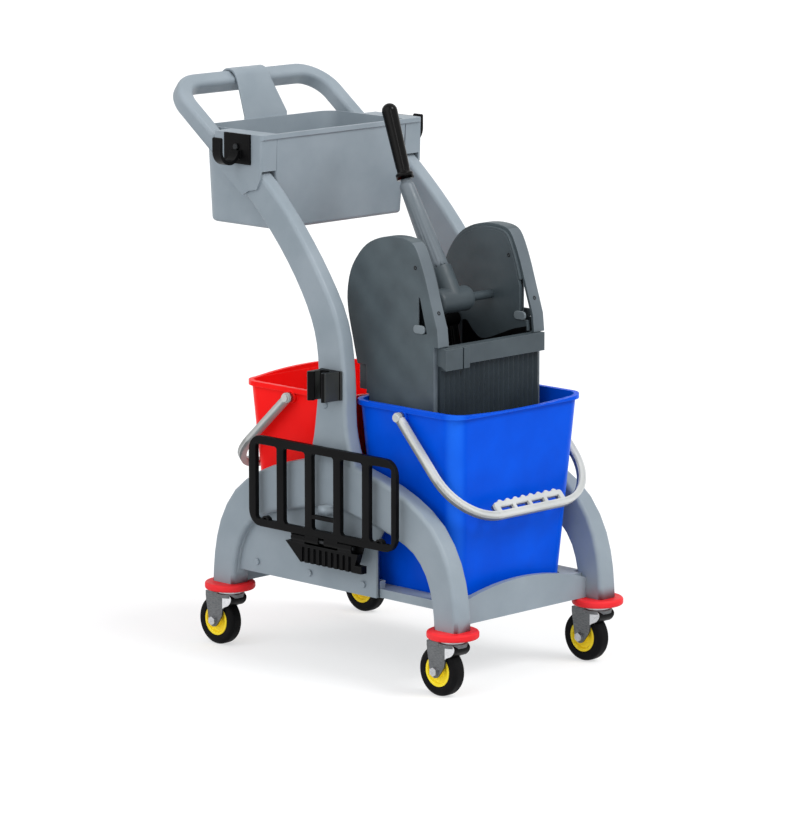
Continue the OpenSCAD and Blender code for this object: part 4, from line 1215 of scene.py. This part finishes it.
@dataclass(frozen=True)
class Lamp:
    """One soft lamp far away."""

    name: str
    towards: Triple
    strength: float
    spread: float

    def shine(self) -> None:
        """Put the lamp into the scene, at its direction from the trolley."""
        data = bpy.data.lights.new(self.name, "SUN")
        data.energy = self.strength
        data.angle = math.radians(self.spread)
        obj = add_object(self.name, data)
        obj.rotation_mode = "QUATERNION"
        obj.rotation_quaternion = (-Vector(self.towards)).to_track_quat("-Z", "Y")


@dataclass
class Studio:
    """Floor, light and the camera at the photograph's angle."""

    azimuth: float = -45.4
    elevation: float = 10.5
    distance: float = 7.298
    aim: Triple = (0.0, 0.0, 0.4)
    aim_right: float = -0.0119
    aim_up: float = -0.0152
    focal_px: float = 4588.8
    image_width: float = 810.0
    sensor: float = 36.0
    far: float = 100.0
    floor_half: float = 12.0
    floor_colour: Colour = (205, 207, 209)
    floor_roughness: float = 0.9
    floor_seen: float = 0.5
    floor_lift: float = 0.55
    sky: float = 0.69
    sky_colour: tuple[float, float, float, float] = (0.96, 0.98, 1.0, 1.0)
    lamps: tuple[Lamp, ...] = (
        Lamp("key", (0.25, -1.0, 1.1), 1.65, 25.0),
        Lamp("fill", (-1.0, 0.0, 0.6), 1.0, 60.0),
        Lamp("glint", (-0.49, -0.81, 0.32), 0.18, 12.0),
    )

    def camera(self) -> None:
        """Set the camera at the photograph's angle."""
        a = math.radians(self.azimuth)
        e = math.radians(self.elevation)
        back = Vector((math.sin(a) * math.cos(e), -math.cos(a) * math.cos(e), math.sin(e)))
        right = Vector((math.cos(a), math.sin(a), 0.0))
        up = back.cross(right)
        target = Vector(self.aim) + right * self.aim_right + up * self.aim_up
        data = bpy.data.cameras.new("camera")
        data.sensor_fit = "HORIZONTAL"
        data.sensor_width = self.sensor
        data.lens = self.focal_px / self.image_width * self.sensor
        data.clip_end = self.far
        cam = add_object("camera", data)
        cam.location = target + back * self.distance
        cam.rotation_mode = "QUATERNION"
        cam.rotation_quaternion = (-back).to_track_quat("-Z", "Y")
        bpy.context.scene.camera = cam

    def seen(self, tree: bpy.types.NodeTree) -> bpy.types.NodeSocket:
        """Tell rays that come from the camera, a gloss or a glass from those that carry light.

        Args:
            tree: Node tree of the floor or the world.

        Returns:
            A socket that gives 1 for seen rays and 0 for light.
        """
        path = tree.nodes.new("ShaderNodeLightPath")
        total = path.outputs["Is Camera Ray"]
        for name in ("Is Transmission Ray", "Is Glossy Ray"):
            either = tree.nodes.new("ShaderNodeMath")
            either.operation = "MAXIMUM"
            tree.links.new(total, either.inputs[0])
            tree.links.new(path.outputs[name], either.inputs[1])
            total = either.outputs[0]
        return total

    def floor(self) -> None:
        """Lay a plain floor that looks white and keeps the shadow."""
        h = self.floor_half
        mesh = bpy.data.meshes.new("floor")
        mesh.from_pydata([(-h, -h, 0), (h, -h, 0), (h, h, 0), (-h, h, 0)], [], [(0, 1, 2, 3)])
        graph = Graph("floor")
        shown = graph.add("BsdfPrincipled")
        for shader in (graph.shader, shown):
            shader.inputs["Roughness"].default_value = self.floor_roughness
            shader.inputs["Specular IOR Level"].default_value = 0.0
        graph.shader.inputs["Base Color"].default_value = linear(self.floor_colour)
        shown.inputs["Base Color"].default_value = (self.floor_seen, self.floor_seen, self.floor_seen, 1.0)
        shown.inputs["Emission Color"].default_value = WHITE
        shown.inputs["Emission Strength"].default_value = self.floor_lift
        mix = graph.add("MixShader")
        graph.tree.links.new(self.seen(graph.tree), mix.inputs[0])
        graph.join(graph.shader, "BSDF", mix, 1)
        graph.join(shown, "BSDF", mix, 2)
        graph.join(mix, 0, graph.output, "Surface")
        mesh.materials.append(graph.material)
        obj = add_object("floor", mesh)

    def world(self) -> None:
        """White behind the object, a softer level of light on it."""
        world = bpy.data.worlds.new("studio")
        bpy.context.scene.world = world
        world.use_nodes = True
        tree = world.node_tree
        tree.nodes.clear()
        out = tree.nodes.new("ShaderNodeOutputWorld")
        mix = tree.nodes.new("ShaderNodeMixShader")
        tree.links.new(self.seen(tree), mix.inputs[0])
        for socket, colour, strength in ((1, self.sky_colour, self.sky), (2, WHITE, 1.0)):
            light = tree.nodes.new("ShaderNodeBackground")
            light.inputs["Color"].default_value = colour
            light.inputs["Strength"].default_value = strength
            tree.links.new(light.outputs[0], mix.inputs[socket])
        tree.links.new(mix.outputs[0], out.inputs["Surface"])

    def build(self) -> None:
        """Set up the whole studio."""
        self.camera()
        self.floor()
        self.world()
        for lamp in self.lamps:
            lamp.shine()
        bpy.context.scene.view_settings.view_transform = "Standard"


def main() -> None:
    """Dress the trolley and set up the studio."""
    logging.basicConfig(level=logging.INFO, format="%(name)s: %(message)s")
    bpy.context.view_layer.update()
    wardrobe = Wardrobe()
    for part in (Chassis(), Rack(), Castors(), Buckets(), Wringer()):
        part.dress(wardrobe)
    Studio().build()


if __name__ == "__main__":
    main()
